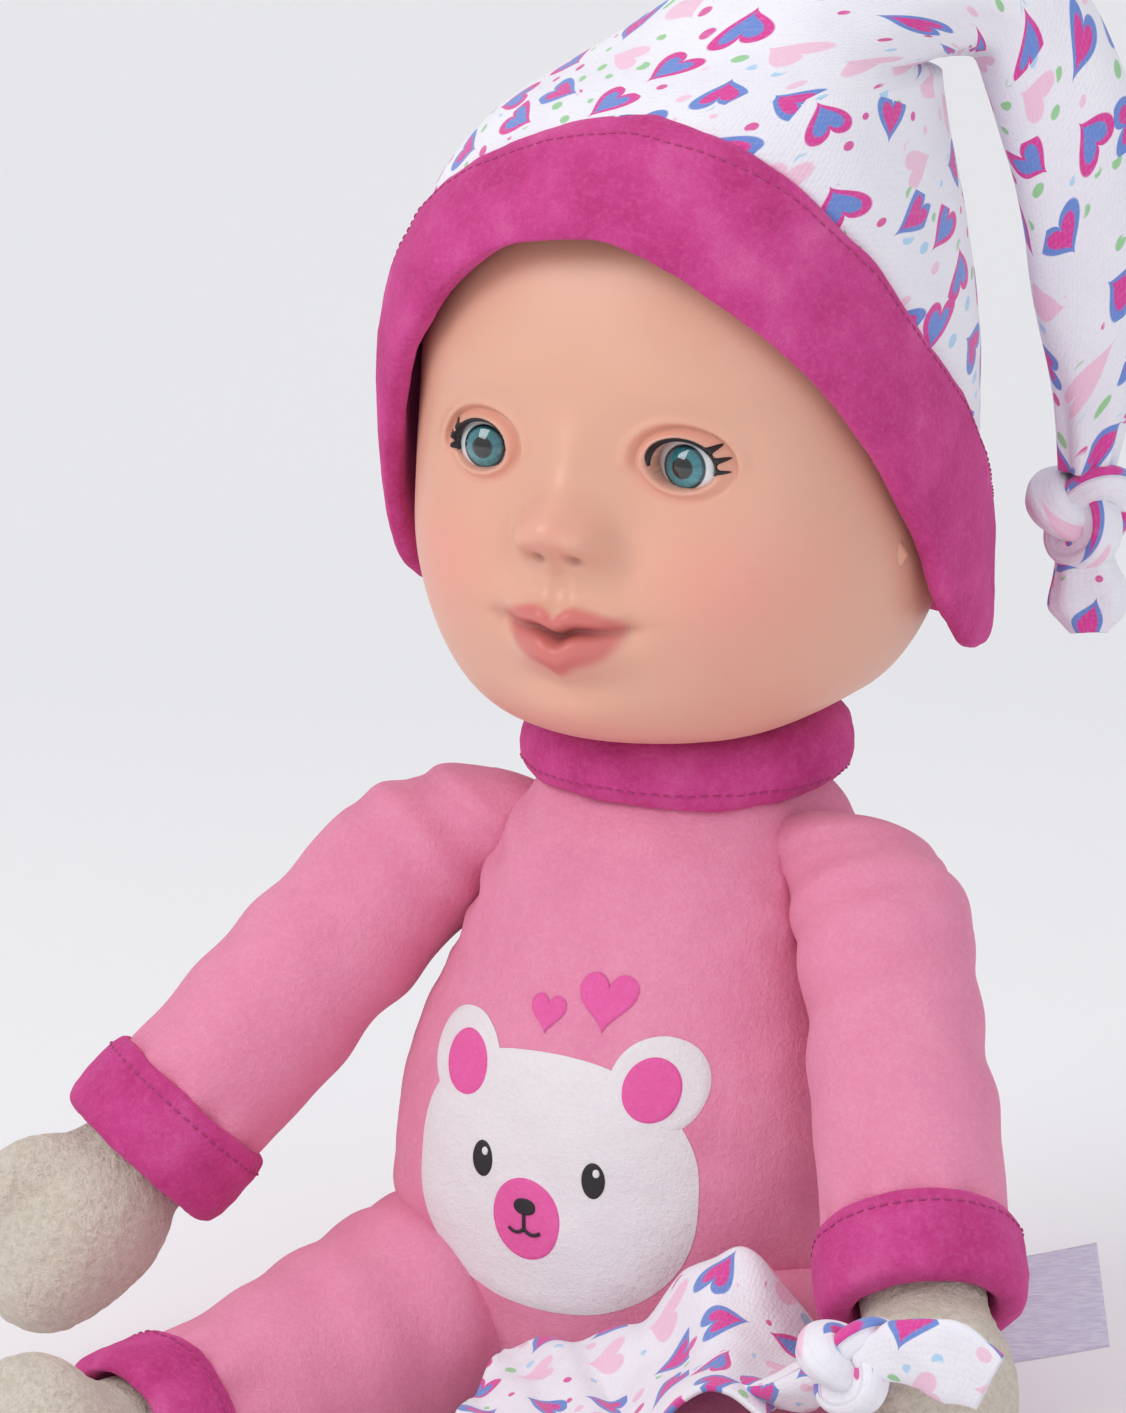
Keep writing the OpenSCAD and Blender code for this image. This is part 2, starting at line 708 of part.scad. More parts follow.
module foot() {
  a = leg_len - 3.7;
  limb([[a, 11.9, 11.9, 0, 0], [a + 12, 12, 12, 0, 0], [a + 19, 15, 14, -1, 0],
    [a + 28, 19, 16, -4.5, 0], [a + 36, 18, 15.5, -5, 0], [a + 40, 13, 11, -5, 0],
    [a + 41.5, 5, 4, -5, 0]], 24, 2);
}

module left_leg() { color(PINK) fused() leg_frame(1) trouser_leg(); }
module right_leg() { color(PINK) fused() leg_frame(-1) trouser_leg(); }
module left_ankle_cuff() { color(MAGENTA) leg_frame(1) ankle_cuff(); }
module right_ankle_cuff() { color(MAGENTA) leg_frame(-1) ankle_cuff(); }
module left_foot() { color(BEIGE) fused() leg_frame(1) foot(); }
module right_foot() { color(BEIGE) fused() leg_frame(-1) foot(); }

// ---------- comforter ----------

// height of the cloth above a point of the lap
function drape(x, y) = let (d = -24 - y, c = 33 + 0.325 * d, u = (x - c) / 21)
  27 + 17.5 * bell(u, 0.62) * (1 - 0.0022 * (d - 30)) + 3.4 * ramp(-30, -60, -y - 100)
  + 11 * bell(y + 62, 9) * bell(x - 34, 16) + 1.3 * sin(x * 11 + y * 5)
  + 5 * ramp(56, 66, x) * bell(y + 72, 14);

module comforter_cloth() {
  nx = 16;
  ny = 14;
  t = 2.4;
  top = [for (j = [0:ny]) [for (i = [0:nx])
    let (y = -61.5 - j * 3.1, x = -9 + 0.8 * j + i * (70 - 0.4 * j) / nx)
    [x, y, max(drape(x, y), 3)]]];
  color(WHITE) fused() loft([for (j = [0:ny]) concat(
    [for (i = [0:nx]) top[j][i] + [0, 0, -t]],
    [for (i = [nx:-1:0]) top[j][i]])]);
}

module comforter_knot() {
  color(WHITE) fused() union() {
    translate([83, -103, 53]) rotate([0, 20, 20]) scale([1.1, 0.9, 0.8])
      sphere(r = 8.6, $fn = 18);
    loft(sweep_rings([[67.4, -96, 41, 6, 3], [72, -99, 46, 6.5, 4], [79, -102.5, 51, 5.5, 4.5]],
      [0, 1, 0.2], 12));
    loft(sweep_rings([[86, -103, 54, 4, 3], [94, -104, 57, 6.5, 3], [103, -104, 57, 8, 2.6],
      [110, -103, 54, 5, 2]], [0, 1, 0.2], 12));
  }
}

module comforter_ribbon() {
  color(MAGENTA) translate([75, -99.5, 32]) rotate([0, 0, -6]) cube([5, 1.6, 8]);
}

torso();
collar();
bear_face_print();
bear_pink_print();
bear_features_print();
care_label();
loop_patch();
module_front_case();
module_back_case();
circuit_board();
speaker();
battery_1();
battery_2();
battery_3();
contact_top();
contact_bottom();
battery_door();
battery_door_screw();
case_screw_1();
case_screw_2();
press_button();
button_spring();
power_switch();
back_flap();
hook_tab();
neck_plug();
neck_tie();
head_shell();
left_eye_socket();
right_eye_socket();
left_lashes();
right_lashes();
left_eyeball();
right_eyeball();
left_eye_lens();
right_eye_lens();
left_eye_weight();
right_eye_weight();
cap_brim();
cap_crown();
cap_tail();
cap_knot();
left_sleeve();
right_sleeve();
left_cuff();
right_cuff();
left_hand();
right_hand();
left_leg();
right_leg();
left_ankle_cuff();
right_ankle_cuff();
left_foot();
right_foot();
comforter_cloth();
comforter_knot();
comforter_ribbon();
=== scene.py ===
import json
import math
import bmesh
import bpy
import numpy as np
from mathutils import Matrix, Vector, noise
from mathutils.bvhtree import BVHTree

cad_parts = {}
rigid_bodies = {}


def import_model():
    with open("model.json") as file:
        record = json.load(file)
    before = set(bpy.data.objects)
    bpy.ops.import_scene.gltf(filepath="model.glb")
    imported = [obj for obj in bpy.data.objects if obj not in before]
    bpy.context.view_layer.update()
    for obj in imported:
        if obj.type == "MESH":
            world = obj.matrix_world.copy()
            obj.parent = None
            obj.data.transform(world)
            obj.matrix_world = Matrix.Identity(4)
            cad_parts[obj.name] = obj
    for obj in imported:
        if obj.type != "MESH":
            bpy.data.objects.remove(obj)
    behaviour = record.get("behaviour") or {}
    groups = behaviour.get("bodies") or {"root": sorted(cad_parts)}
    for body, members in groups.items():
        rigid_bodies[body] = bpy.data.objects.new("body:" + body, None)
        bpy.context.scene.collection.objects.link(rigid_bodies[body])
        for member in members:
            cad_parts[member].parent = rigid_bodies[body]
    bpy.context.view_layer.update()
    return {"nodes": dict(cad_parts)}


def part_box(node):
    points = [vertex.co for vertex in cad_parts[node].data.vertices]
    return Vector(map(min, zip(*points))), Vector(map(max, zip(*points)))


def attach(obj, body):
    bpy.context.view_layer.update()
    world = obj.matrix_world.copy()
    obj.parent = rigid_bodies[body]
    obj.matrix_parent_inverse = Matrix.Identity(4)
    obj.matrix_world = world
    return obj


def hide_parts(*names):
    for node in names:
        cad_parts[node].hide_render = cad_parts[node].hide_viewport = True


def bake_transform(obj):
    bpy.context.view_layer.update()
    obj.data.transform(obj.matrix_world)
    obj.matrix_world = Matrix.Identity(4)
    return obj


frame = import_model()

MM = 0.001
TAU = 2 * math.pi
SIDE = {1: "left", -1: "right"}
VIEW_TURN = math.radians(27.5)      # the photo looks at the doll from this far round


# ------------------------------------------------------------ camera

def make_camera():
    az, el, dist = VIEW_TURN, math.radians(14), 1.10
    back = Vector((math.sin(az) * math.cos(el), -math.cos(az) * math.cos(el), math.sin(el)))
    target = Vector((-0.0126, -0.030, 0.1470))
    data = bpy.data.cameras.new("camera")
    data.lens = 145.7
    data.sensor_width = 36
    data.sensor_fit = "AUTO"
    cam = bpy.data.objects.new("camera", data)
    bpy.context.collection.objects.link(cam)
    cam.location = target + back * dist
    cam.rotation_mode = "QUATERNION"
    cam.rotation_quaternion = (-back).to_track_quat("-Z", "Y")
    bpy.context.scene.camera = cam


make_camera()


# ------------------------------------------------------------ curves and meshes

def unit(v):
    v = np.asarray(v, float)
    return v / np.linalg.norm(v)


def smooth_rows(rows, n):
    r = np.asarray(rows, float)
    m = len(r)
    out = []
    for i in range(m - 1):
        a, b, c, d = r[max(i - 1, 0)], r[i], r[i + 1], r[min(i + 2, m - 1)]
        for k in range(n):
            t = k / n
            out.append(0.5 * (2 * b + (c - a) * t + (2 * a - 5 * b + 4 * c - d) * t * t
                              + (3 * b - a - 3 * c + d) * t ** 3))
    out.append(r[-1])
    return np.array(out)


def table(rows):
    """A smooth curve through rows; the first column is what it is read by."""
    fine = smooth_rows(rows, 12)
    return lambda x: np.stack([np.interp(x, fine[:, 0], fine[:, k])
                               for k in range(1, fine.shape[1])], -1)


def bell(x, s):
    return np.exp(-np.square(x) / (2 * s * s))


def ramp(a, b, x):
    t = np.clip((np.asarray(x, float) - a) / (b - a), 0, 1)
    return t * t * (3 - 2 * t)


def signed_power(v, e):
    return np.sign(v) * np.abs(v) ** e


def fbm(p, scale, octaves=3, seed=0.0):
    """Smooth noise at points in millimetres."""
    p = np.asarray(p, float)
    flat = p.reshape(-1, 3) / scale + seed
    out = np.zeros(len(flat))
    amp = 1.0
    for o in range(octaves):
        q = flat * (2 ** o)
        out += amp * np.array([noise.noise(Vector(v)) for v in q])
        amp *= 0.5
    return out.reshape(p.shape[:-1])


def shade_smooth(o):
    for f in o.data.polygons:
        f.use_smooth = True


def dress(o, material):
    o.data.materials.clear()
    o.data.materials.append(material)


def make(name, verts, faces, material, body, replaces=(), uv=None, colour=None):
    """A piece from points in millimetres."""
    me = bpy.data.meshes.new(name)
    verts = np.asarray(verts, float).reshape(-1, 3) * MM
    me.from_pydata([tuple(v) for v in verts], [], [tuple(f) for f in faces])
    me.update()
    if uv is not None:
        layer = me.uv_layers.new(name="UVMap")
        loops = np.zeros(len(me.loops), dtype=np.int32)
        me.loops.foreach_get("vertex_index", loops)
        layer.data.foreach_set("uv", np.reshape(uv, (-1, 2))[loops].astype(np.float32).ravel())
    if colour is not None:
        att = me.color_attributes.new(name="tint", type="FLOAT_COLOR", domain="POINT")
        c = np.ones((len(me.vertices), 4), np.float32)
        c[:, :3] = np.reshape(colour, (-1, 3))
        att.data.foreach_set("color", c.ravel())
    o = bpy.data.objects.new(name, me)
    bpy.context.collection.objects.link(o)
    shade_smooth(o)
    me.materials.append(material)
    if body:
        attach(o, body)
    if replaces:
        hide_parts(*replaces)
    return o


def grid_faces(rows, cols, wrap=True, wrap_rows=False, cap_lo=False, cap_hi=False, base=0):
    faces = []
    for j in range(rows if wrap_rows else rows - 1):
        k = (j + 1) % rows
        for i in range(cols if wrap else cols - 1):
            m = (i + 1) % cols
            faces.append((base + j * cols + i, base + j * cols + m, base + k * cols + m,
                          base + k * cols + i))
    if cap_lo:
        faces.append(tuple(base + i for i in range(cols - 1, -1, -1)))
    if cap_hi:
        faces.append(tuple(base + (rows - 1) * cols + i for i in range(cols)))
    return faces


def subdivide(o, levels):
    m = o.modifiers.new("subdivision", "SUBSURF")
    m.levels = m.render_levels = levels


def apply_all(o):
    dg = bpy.context.evaluated_depsgraph_get()
    me = bpy.data.meshes.new_from_object(o.evaluated_get(dg))
    old = o.data
    o.modifiers.clear()
    o.data = me
    me.name = o.name
    bpy.data.meshes.remove(old)


def thicken(o, mm, offset):
    m = o.modifiers.new("thickness", "SOLIDIFY")
    m.thickness = mm * MM
    m.offset = offset
    apply_all(o)


def remesh(o, voxel_mm, smooth):
    m = o.modifiers.new("remesh", "REMESH")
    m.mode = "VOXEL"
    m.voxel_size = voxel_mm * MM
    m.use_smooth_shade = True
    s = o.modifiers.new("smooth", "SMOOTH")
    s.factor = 0.5
    s.iterations = smooth
    apply_all(o)
    shade_smooth(o)


def points(o):
    a = np.zeros(len(o.data.vertices) * 3)
    o.data.vertices.foreach_get("co", a)
    return a.reshape(-1, 3) / MM


def normals(o):
    a = np.zeros(len(o.data.vertices) * 3, dtype=np.float32)
    o.data.vertices.foreach_get("normal", a)
    return a.reshape(-1, 3)


def set_points(o, p):
    o.data.vertices.foreach_set("co", (p * MM).ravel())
    o.data.update()


def sweep(path, radii, n, ref=(0, 0, 1), profile=None):
    """Rings round a path of points; radii are pairs."""
    path = np.asarray(path, float)
    tang = np.gradient(path, axis=0)
    tang /= np.linalg.norm(tang, axis=1)[:, None]
    u = np.cross(tang[0], ref)
    u /= np.linalg.norm(u)
    a = np.arange(n) * TAU / n
    k = profile(a) if profile else 1.0
    rings = []
    for c, t, (r1, r2) in zip(path, tang, radii):
        u = u - t * np.dot(u, t)
        u /= np.linalg.norm(u)
        v = np.cross(t, u)
        rings.append(c + (r1 * k * np.cos(a))[:, None] * u + (r2 * k * np.sin(a))[:, None] * v)
    return np.array(rings)


# ------------------------------------------------------------ materials

class Tree:
    def __init__(self, name):
        self.m = bpy.data.materials.new(name)
        self.m.use_nodes = True
        self.t = self.m.node_tree
        self.b = self.t.nodes["Principled BSDF"]

    def add(self, kind, props=None, **inputs):
        n = self.t.nodes.new(kind)
        for k, v in (props or {}).items():
            setattr(n, k, v)
        for k, v in inputs.items():
            self.put(n.inputs[int(k[1:])] if k[0] == "i" and k[1:].isdigit()
                     else n.inputs[k.replace("_", " ")], v)
        return n

    def put(self, socket, v):
        if isinstance(v, bpy.types.NodeSocket):
            self.t.links.new(v, socket)
        elif isinstance(v, bpy.types.Node):
            self.t.links.new(v.outputs[0], socket)
        else:
            socket.default_value = v

    def math(self, op, a, b=0.0):
        n = self.t.nodes.new("ShaderNodeMath")
        n.operation = op
        self.put(n.inputs[0], a)
        self.put(n.inputs[1], b)
        return n.outputs[0]

    def mul(self, a, b):
        return self.math("MULTIPLY", a, b)

    def vec(self, op, a, b=(0, 0, 0), out=0):
        n = self.t.nodes.new("ShaderNodeVectorMath")
        n.operation = op
        self.put(n.inputs[0], a)
        if op == "SCALE":
            self.put(n.inputs["Scale"], b)
        else:
            self.put(n.inputs[1], b)
        return n.outputs[out]

    def mix(self, f, a, b):
        n = self.t.nodes.new("ShaderNodeMix")
        n.data_type = "RGBA"
        self.put(n.inputs[0], f)
        self.put(n.inputs[6], a)
        self.put(n.inputs[7], b)
        return n.outputs[2]

    def noise(self, scale, detail, rough, vector=None):
        n = self.t.nodes.new("ShaderNodeTexNoise")
        self.put(n.inputs["Vector"], vector or self.coord())
        n.inputs["Scale"].default_value = scale
        n.inputs["Detail"].default_value = detail
        n.inputs["Roughness"].default_value = rough
        return n.outputs[0]

    def coord(self, which="Object"):
        if not hasattr(self, "tc"):
            self.tc = self.t.nodes.new("ShaderNodeTexCoord")
        return self.tc.outputs[which]

    def step(self, x, lo, hi):
        n = self.t.nodes.new("ShaderNodeMapRange")
        n.interpolation_type = "SMOOTHSTEP"
        self.put(n.inputs[0], x)
        n.inputs[1].default_value = lo
        n.inputs[2].default_value = hi
        return n.outputs[0]

    def bump(self, height, strength, distance):
        n = self.t.nodes.new("ShaderNodeBump")
        self.put(n.inputs["Height"], height)
        n.inputs["Strength"].default_value = strength
        n.inputs["Distance"].default_value = distance
        return n.outputs[0]

    def set(self, **k):
        for name, v in k.items():
            self.put(self.b.inputs[name.replace("_", " ")], v)
        return self.m


def rgb(r, g, b):
    return (r, g, b, 1.0)


def velour(name, deep, base, light, nap=70, patchy=0.45):
    t = Tree(name)
    nap_n = t.noise(nap, 3.0, 0.6)
    fine = t.noise(900, 2.0, 0.6)
    pile = t.noise(2600, 2.0, 0.7)
    # Broad patches where the pile lies another way are painted lighter and darker: painted sheen and shade
    # of the nap.
    nap_lit = t.step(nap_n, 0.30, 0.62)
    nap_shade = t.mul(t.math("SUBTRACT", 1.0, nap_lit), patchy)
    c = t.mix(t.math("SUBTRACT", 1.0, nap_shade), deep, base)
    c = t.mix(t.mul(t.step(nap_n, 0.55, 0.75), 0.5 * patchy), c, light)
    c = t.mix(t.mul(t.step(fine, 0.4, 0.75), 0.20), c, light)
    c = t.mix(t.mul(t.step(pile, 0.62, 0.3), 0.30), c, deep)
    h = t.math("ADD", t.mul(pile, 0.6), t.mul(fine, 0.8))
    n = t.bump(h, 0.55, 0.0007)
    return t.set(Base_Color=c, Roughness=0.88, Normal=n, Sheen_Weight=0.55, Sheen_Roughness=0.45,
                 Sheen_Tint=light, Specular_IOR_Level=0.15)


def plush(name, deep, base, light):
    t = Tree(name)
    tuft = t.noise(700, 3.0, 0.6)
    fibre = t.noise(1900, 3.0, 0.7)
    c = t.mix(t.step(tuft, 0.35, 0.62), deep, base)
    c = t.mix(t.mul(t.step(fibre, 0.45, 0.7), 0.5), c, light)
    h = t.math("ADD", t.mul(tuft, 1.2), t.mul(fibre, 0.7))
    n = t.bump(h, 0.8, 0.0016)
    return t.set(Base_Color=c, Roughness=0.92, Normal=n, Sheen_Weight=0.5, Sheen_Roughness=0.5,
                 Sheen_Tint=light, Specular_IOR_Level=0.1)


def heart_field(t, x, y):
    ax = t.math("ABSOLUTE", x)
    s = t.math("POWER", ax, 0.5)
    yy = t.math("SUBTRACT", t.mul(y, 1.15), t.mul(s, 0.62))
    return t.math("POWER", t.math("ADD", t.mul(x, x), t.mul(yy, yy)), 0.5)


def jersey(name):
    """White jersey printed with hearts and dots; UV in metres."""
    t = Tree(name)
    uv = t.coord("UV")
    ground = t.mix(t.noise(55, 2.0, 0.5), rgb(0.80, 0.77, 0.86), rgb(0.93, 0.92, 0.95))
    colour = ground
    magenta, blue = rgb(0.72, 0.06, 0.33), rgb(0.16, 0.27, 0.66)
    green, sky, pale = rgb(0.30, 0.62, 0.28), rgb(0.42, 0.66, 0.88), rgb(0.90, 0.58, 0.72)

    def cells(scale, turn, jitter):
        mp = t.add("ShaderNodeMapping", i0=uv)
        mp.inputs["Scale"].default_value = (scale, scale, 1)
        mp.inputs["Rotation"].default_value = (0, 0, turn)
        cell = t.vec("FLOOR", mp.outputs[0])
        wn = t.add("ShaderNodeTexWhiteNoise", {"noise_dimensions": "2D"}, Vector=cell)
        rnd = t.add("ShaderNodeSeparateColor", Color=wn.outputs["Color"])
        local = t.vec("SUBTRACT", t.vec("FRACTION", mp.outputs[0]), (0.5, 0.5, 0))
        shift = t.vec("SCALE", t.vec("SUBTRACT", wn.outputs["Color"], (0.5, 0.5, 0)), jitter)
        loc = t.vec("SUBTRACT", local, shift)
        rot = t.add("ShaderNodeVectorRotate", {"rotation_type": "Z_AXIS"}, Vector=loc,
                    Angle=t.mul(t.math("SUBTRACT", rnd.outputs[2], 0.5), 5.0))
        xyz = t.add("ShaderNodeSeparateXYZ", i0=rot.outputs[0])
        return rnd, xyz, loc

    rnd, xyz, loc = cells(160, 0.5, 0.5)
    d = t.vec("LENGTH", t.vec("MULTIPLY", loc, (1, 1, 0)), out=1)
    r = t.math("ADD", t.mul(rnd.outputs[0], 0.12), 0.10)
    dot = t.step(t.math("SUBTRACT", r, d), -0.02, 0.02)
    dot = t.mul(dot, t.math("GREATER_THAN", rnd.outputs[1], 0.30))
    small = t.mix(t.math("GREATER_THAN", rnd.outputs[2], 0.33), green, magenta)
    small = t.mix(t.math("GREATER_THAN", rnd.outputs[2], 0.62), small, sky)
    small = t.mix(t.math("GREATER_THAN", rnd.outputs[2], 0.84), small, pale)

    rnd2, xyz2, _ = cells(72, 0.32, 0.34)
    h = heart_field(t, xyz2.outputs[0], xyz2.outputs[1])
    near = t.step(h, 0.47, 0.40)
    colour = t.mix(t.mul(dot, 0.92), colour, small)
    colour = t.mix(near, colour, ground)
    kind = t.math("GREATER_THAN", rnd2.outputs[0], 0.5)
    rim = t.mix(kind, magenta, blue)
    core = t.mix(kind, blue, magenta)
    heart = t.step(h, 0.335, 0.305)
    inner = t.step(h, 0.225, 0.195)
    use = t.math("GREATER_THAN", rnd2.outputs[1], 0.22)
    colour = t.mix(t.mul(heart, use), colour, rim)
    colour = t.mix(t.mul(inner, use), colour, core)
    colour = t.mix(t.mul(t.step(h, 0.30, 0.26), t.math("SUBTRACT", 1.0, use)), colour, pale)

    mp = t.add("ShaderNodeMapping", i0=uv)
    mp.inputs["Scale"].default_value = (1100, 800, 1)
    wave = t.add("ShaderNodeTexVoronoi", {"voronoi_dimensions": "2D"}, Vector=mp.outputs[0], Scale=1.0,
                 Randomness=0.35)
    fuzz = t.noise(1500, 2.0, 0.6)
    colour = t.mix(t.mul(t.step(wave.outputs[0], 0.35, 0.8), 0.16), colour,
                   rgb(0.60, 0.56, 0.70))
    hgt = t.math("ADD", t.mul(wave.outputs[0], -0.7), t.mul(fuzz, 0.6))
    n = t.bump(hgt, 0.45, 0.0004)
    return t.set(Base_Color=colour, Roughness=0.85, Normal=n, Sheen_Weight=0.25,
                 Sheen_Roughness=0.5, Specular_IOR_Level=0.2)


def tinted(name, rough, bump, scale, sub=0.0, coat=0.0, spec=0.5, mottle=0.06):
    """Colour from the piece's own point colours, with a fine grain."""
    t = Tree(name)
    a = t.add("ShaderNodeVertexColor", {"layer_name": "tint"})
    g = t.noise(scale, 2.0, 0.5)
    big = t.noise(45, 2.0, 0.5)
    c = t.mix(t.mul(big, mottle), a.outputs[0], rgb(0.72, 0.33, 0.27))
    n = t.bump(g, bump, 0.0003)
    m = t.set(Base_Color=c, Roughness=rough, Normal=n, Coat_Weight=coat, Coat_Roughness=0.04,
              Specular_IOR_Level=spec)
    if sub:
        t.set(Subsurface_Weight=sub, Subsurface_Scale=0.004)
        t.b.inputs["Subsurface Radius"].default_value = (1.0, 0.45, 0.30)
    return m


def plain(name, colour, rough, grain, strength, metallic=0.0):
    """Moulded or metal surface with fine grain and a slight change of tone."""
    t = Tree(name)
    g = t.noise(grain, 3.0, 0.6)
    w = t.noise(40, 2.0, 0.5)
    dark = rgb(colour[0] * 0.8, colour[1] * 0.8, colour[2] * 0.8)
    c = t.mix(t.mul(w, 0.3), rgb(*colour), dark)
    n = t.bump(g, strength, 0.0002)
    return t.set(Base_Color=c, Roughness=rough, Normal=n, Metallic=metallic, Specular_IOR_Level=0.5)


def satin(name, base, shade):
    t = Tree(name)
    mp = t.add("ShaderNodeMapping", i0=t.coord())
    mp.inputs["Scale"].default_value = (300, 300, 2500)
    w = t.noise(1.0, 2.0, 0.6, vector=mp.outputs[0])
    c = t.mix(t.step(w, 0.35, 0.7), shade, base)
    n = t.bump(w, 0.3, 0.0002)
    return t.set(Base_Color=c, Roughness=0.38, Normal=n, Sheen_Weight=0.3, Specular_IOR_Level=0.5)


PINK = velour("pink_velour", rgb(0.70, 0.19, 0.34), rgb(0.84, 0.29, 0.45), rgb(0.92, 0.47, 0.60),
              60, 0.35)
MAGENTA = velour("magenta_velour", rgb(0.44, 0.025, 0.16), rgb(0.62, 0.065, 0.28),
                 rgb(0.80, 0.20, 0.45), 60, 0.75)
BEIGE = plush("beige_plush", rgb(0.72, 0.62, 0.51), rgb(0.83, 0.74, 0.63), rgb(0.92, 0.85, 0.76))
JERSEY = jersey("print_jersey")
SKIN = tinted("vinyl_skin", 0.40, 0.12, 1400, sub=0.18, spec=0.5)
EYE = tinted("eye_gloss", 0.06, 0.0, 900, coat=1.0, spec=0.6, mottle=0.0)
LASH = plain("lash_black", (0.012, 0.010, 0.012), 0.35, 700, 0.1)
CASE = plain("case_plastic", (0.78, 0.78, 0.79), 0.5, 900, 0.2)
BUTTON = plain("button_plastic", (0.60, 0.10, 0.28), 0.45, 900, 0.2)
DARK = plain("dark_plastic", (0.02, 0.02, 0.022), 0.5, 900, 0.25)
BOARD = plain("circuit_green", (0.02, 0.17, 0.07), 0.35, 600, 0.2)
CELL = plain("cell_can", (0.05, 0.12, 0.35), 0.3, 600, 0.1, metallic=0.6)
STEEL = plain("steel", (0.55, 0.56, 0.58), 0.3, 1200, 0.15, metallic=1.0)
STRIP = velour("hook_loop", rgb(0.70, 0.69, 0.69), rgb(0.82, 0.81, 0.81), rgb(0.93, 0.92, 0.92), 220)
LABEL = satin("satin_label", rgb(0.72, 0.70, 0.82), rgb(0.60, 0.57, 0.72))
RIBBON = satin("satin_ribbon", rgb(0.66, 0.08, 0.30), rgb(0.50, 0.04, 0.20))
PRINT_WHITE = velour("print_white", rgb(0.74, 0.68, 0.72), rgb(0.84, 0.80, 0.82),
                     rgb(0.90, 0.88, 0.90), 160, 0.15)
PRINT_PINK = velour("print_pink", rgb(0.74, 0.09, 0.33), rgb(0.82, 0.13, 0.40),
                    rgb(0.88, 0.24, 0.50), 160, 0.2)
PRINT_DARK = plain("print_dark", (0.015, 0.013, 0.016), 0.6, 800, 0.3)
THREAD = plain("pink_thread", (0.80, 0.50, 0.60), 0.6, 1500, 0.3)
THREAD_M = plain("magenta_thread", (0.42, 0.04, 0.17), 0.6, 1500, 0.3)


def cad_object(node):
    o = frame["nodes"][node]
    return bpy.data.objects[o] if isinstance(o, str) else o


# The hard inner pieces keep their CAD shape and get a material.
for node, m in {"module_front_case": CASE, "module_back_case": CASE, "battery_door": CASE,
                "circuit_board": BOARD, "speaker": DARK, "battery_1": CELL, "battery_2": CELL,
                "battery_3": CELL, "contact_top": STEEL, "contact_bottom": STEEL,
                "battery_door_screw": STEEL, "case_screw_1": STEEL, "case_screw_2": STEEL,
                "press_button": BUTTON, "button_spring": STEEL, "power_switch": DARK,
                "neck_plug": PINK, "neck_tie": CASE, "left_eye_socket": CASE,
                "right_eye_socket": CASE, "left_eye_weight": STEEL, "right_eye_weight": STEEL,
                "loop_patch": STRIP}.items():
    dress(cad_object(node), m)


# ------------------------------------------------------------ head

# height, half width, depth in front of the middle, depth behind it
head_at = table([
    [146, 18, 18, 18], [147.4, 25, 31, 24], [151, 34, 41.5, 32], [157, 42, 46.5, 38],
    [166, 48, 49, 44], [178, 51, 50.2, 49.5], [192, 51, 50.6, 53], [206, 50, 51, 54.5],
    [220, 48.5, 50.5, 53.5], [234, 44, 46.5, 49], [246, 36.5, 39, 42], [255, 26, 27.5, 31],
    [260, 13.5, 14.5, 17], [261.6, 4, 4.5, 5]])
EYE_Y = -36.5
CHEEK_POWER = 0.833
EYE_Z = 200.0
EYE_X = 21.0
EYE_R = 9.9
EYE_HALF, EYE_UP, EYE_DOWN = 6.1, 4.9, 4.3      # half width of an opening, its height above and below
EYE_SLANT, EYE_RAISE = 0.06, 0.35
IRIS_DEGREES = 24.5
FACE_TURN = 1.40                                # the finely divided front reaches this far each way
NECK_HOLE_R = 17.9


def eye_rho(x, z, s):
    """1 on the edge of an eye opening; the outer corner sits a little lower."""
    u = (x - s * EYE_X) * s
    w = (z - EYE_Z) + EYE_SLANT * u - EYE_RAISE
    half = np.where(w > 0, EYE_UP, EYE_DOWN)
    return np.sqrt((u / EYE_HALF) ** 2 + (w / half) ** 2)


def mouth_line(x):
    return 168.6 + 0.006 * x * x - 0.8 * bell(x, 1.6) + 0.5 * bell(np.abs(x) - 4, 2.5)


